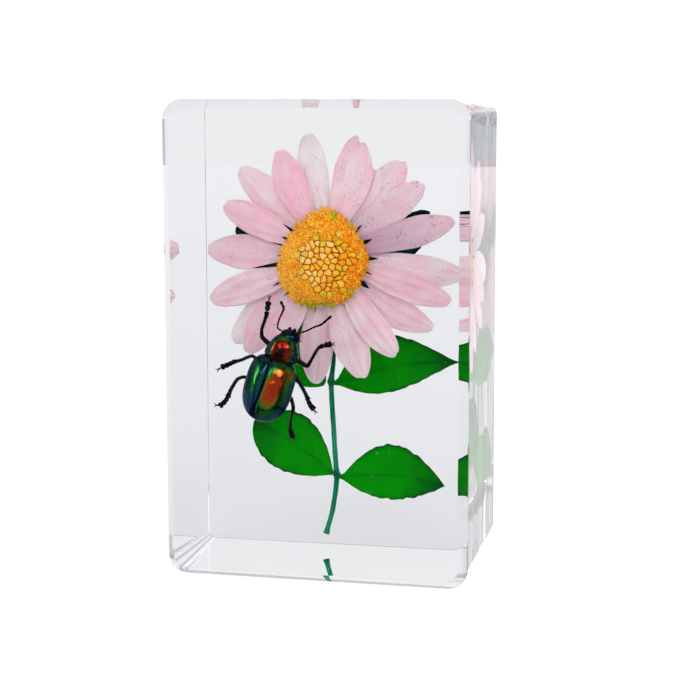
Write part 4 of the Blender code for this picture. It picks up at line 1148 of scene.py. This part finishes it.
class ResinSettings(PropertyGroup):
    tint: FloatVectorProperty(
        name="Tint", description="What light keeps on its way through the resin", subtype="COLOR",
        default=(0.90, 0.904, 0.91), min=0.0, max=1.0,
    )
    ior: FloatProperty(name="IOR", description="How strongly the resin bends light", default=1.5, min=1.0, max=2.0)


class DaisySettings(PropertyGroup):
    petal_pale: FloatVectorProperty(
        name="Pale Petal", description="Colour of the palest petals", subtype="COLOR", default=linear("#FFFAF8")[:3]
    )
    petal_middle: FloatVectorProperty(
        name="Pink Petal", description="Colour of most petals", subtype="COLOR", default=linear("#FFE6EA")[:3]
    )
    petal_deep: FloatVectorProperty(
        name="Deep Petal", description="Colour of the pinkest petals", subtype="COLOR", default=linear("#FFCFDC")[:3]
    )
    petal_thickness: FloatProperty(
        name="Petal Thickness", description="Thickness of a petal", default=0.00012, min=0.00005, max=0.0005,
        unit="LENGTH", precision=5,
    )
    bud_size: FloatProperty(
        name="Bud Size", description="Width of a closed bud on the disc", default=0.00105, min=0.0005, max=0.002,
        unit="LENGTH", precision=5,
    )
    floret_size: FloatProperty(
        name="Floret Size", description="Width of an open floret on the disc", default=0.00044, min=0.0003, max=0.001,
        unit="LENGTH", precision=5,
    )
    floret_count: IntProperty(
        name="Loose Florets", description="Florets that stand out, on the whole spiral of the disc", default=1100,
        min=100, max=3000,
    )
    leaf_thickness: FloatProperty(
        name="Leaf Thickness", description="Thickness of a leaf", default=0.0002, min=0.00005, max=0.001,
        unit="LENGTH", precision=5,
    )


class BeetleSettings(PropertyGroup):
    gloss: FloatProperty(
        name="Shell Roughness", description="Roughness of the beetle's shell", default=0.12, min=0.0, max=1.0,
        subtype="FACTOR",
    )


class StageSettings(PropertyGroup):
    floor_size: FloatProperty(
        name="Floor", description="Width of the floor", default=8.0, min=0.5, max=20.0, unit="LENGTH"
    )
    brightness: FloatProperty(
        name="Brightness", description="Strength of the even studio light", default=1.2, min=0.0, max=5.0
    )
    floor_glow: FloatProperty(
        name="Floor Glow", description="How strongly the floor glows, as a share of the studio light", default=0.79,
        min=0.0, max=5.0,
    )
    front: FloatProperty(
        name="Front Light", description="How much brighter the studio is in front, low down", default=7.5,
        min=0.0, max=10.0,
    )
    key: FloatProperty(
        name="Soft Lights", description="How much brighter the main soft light is than the studio", default=10.0,
        min=0.0, max=50.0,
    )


class RESIN_OT_block(Operator):
    """Casts the clear resin block"""
    bl_idname = "resin_block.cast"
    bl_label = "Cast the Block"

    def execute(self, context):
        make_block(context.scene.resin_settings)
        return {"FINISHED"}


class RESIN_OT_petals(Operator):
    """Lays the twenty petals in their layers"""
    bl_idname = "resin_block.petals"
    bl_label = "Lay the Petals"

    def execute(self, context):
        make_petals(context.scene.daisy_settings)
        return {"FINISHED"}


class RESIN_OT_disc(Operator):
    """Grows the buds and florets on the flower's disc"""
    bl_idname = "resin_block.disc"
    bl_label = "Grow the Disc"

    def execute(self, context):
        make_disc(context.scene.daisy_settings)
        return {"FINISHED"}


class RESIN_OT_greenery(Operator):
    """Makes the calyx, the stem and the leaves"""
    bl_idname = "resin_block.greenery"
    bl_label = "Make the Stem and Leaves"

    def execute(self, context):
        make_calyx()
        make_stem()
        make_leaves(context.scene.daisy_settings)
        return {"FINISHED"}


class RESIN_OT_beetle(Operator):
    """Builds the leaf beetle with its legs and antennae"""
    bl_idname = "resin_block.beetle"
    bl_label = "Build the Beetle"

    def execute(self, context):
        for make in (make_wing_cases, make_body, make_limbs):
            make(context.scene.beetle_settings.gloss)
        return {"FINISHED"}


class RESIN_OT_stage(Operator):
    """Sets the floor, the studio light and the camera"""
    bl_idname = "resin_block.stage"
    bl_label = "Set the Stage"

    def execute(self, context):
        make_floor(context.scene.stage_settings)
        make_studio(context.scene.stage_settings)
        make_camera()
        return {"FINISHED"}


class RESIN_PT_panel(Panel):
    bl_label = "Resin Block"
    bl_space_type = "VIEW_3D"
    bl_region_type = "UI"
    bl_category = "Resin Block"

    def draw(self, context):
        for title, (name, group, operators) in SECTIONS.items():
            box = self.layout.box()
            box.label(text=title)
            for setting in group.__annotations__:
                box.prop(getattr(context.scene, name), setting)
            for operator in operators:
                box.operator(operator.bl_idname)


SECTIONS = {
    "Stage": ("stage_settings", StageSettings, (RESIN_OT_stage,)),
    "Resin": ("resin_settings", ResinSettings, (RESIN_OT_block,)),
    "Daisy": ("daisy_settings", DaisySettings, (RESIN_OT_petals, RESIN_OT_disc, RESIN_OT_greenery)),
    "Beetle": ("beetle_settings", BeetleSettings, (RESIN_OT_beetle,)),
}
GROUPS = {name: group for name, group, operators in SECTIONS.values()}
OPERATORS = [operator for name, group, operators in SECTIONS.values() for operator in operators]
CLASSES = (*GROUPS.values(), *OPERATORS, RESIN_PT_panel)


def register():
    for cls in CLASSES:
        bpy.utils.register_class(cls)
    for name, group in GROUPS.items():
        setattr(bpy.types.Scene, name, PointerProperty(type=group))


def unregister():
    for name in GROUPS:
        delattr(bpy.types.Scene, name)
    for cls in reversed(CLASSES):
        bpy.utils.unregister_class(cls)


def main():
    register()
    bpy.ops.resin_block.stage()
    bpy.ops.resin_block.cast()
    bpy.ops.resin_block.petals()
    bpy.ops.resin_block.disc()
    bpy.ops.resin_block.greenery()
    bpy.ops.resin_block.beetle()


if __name__ == "__main__":
    main()
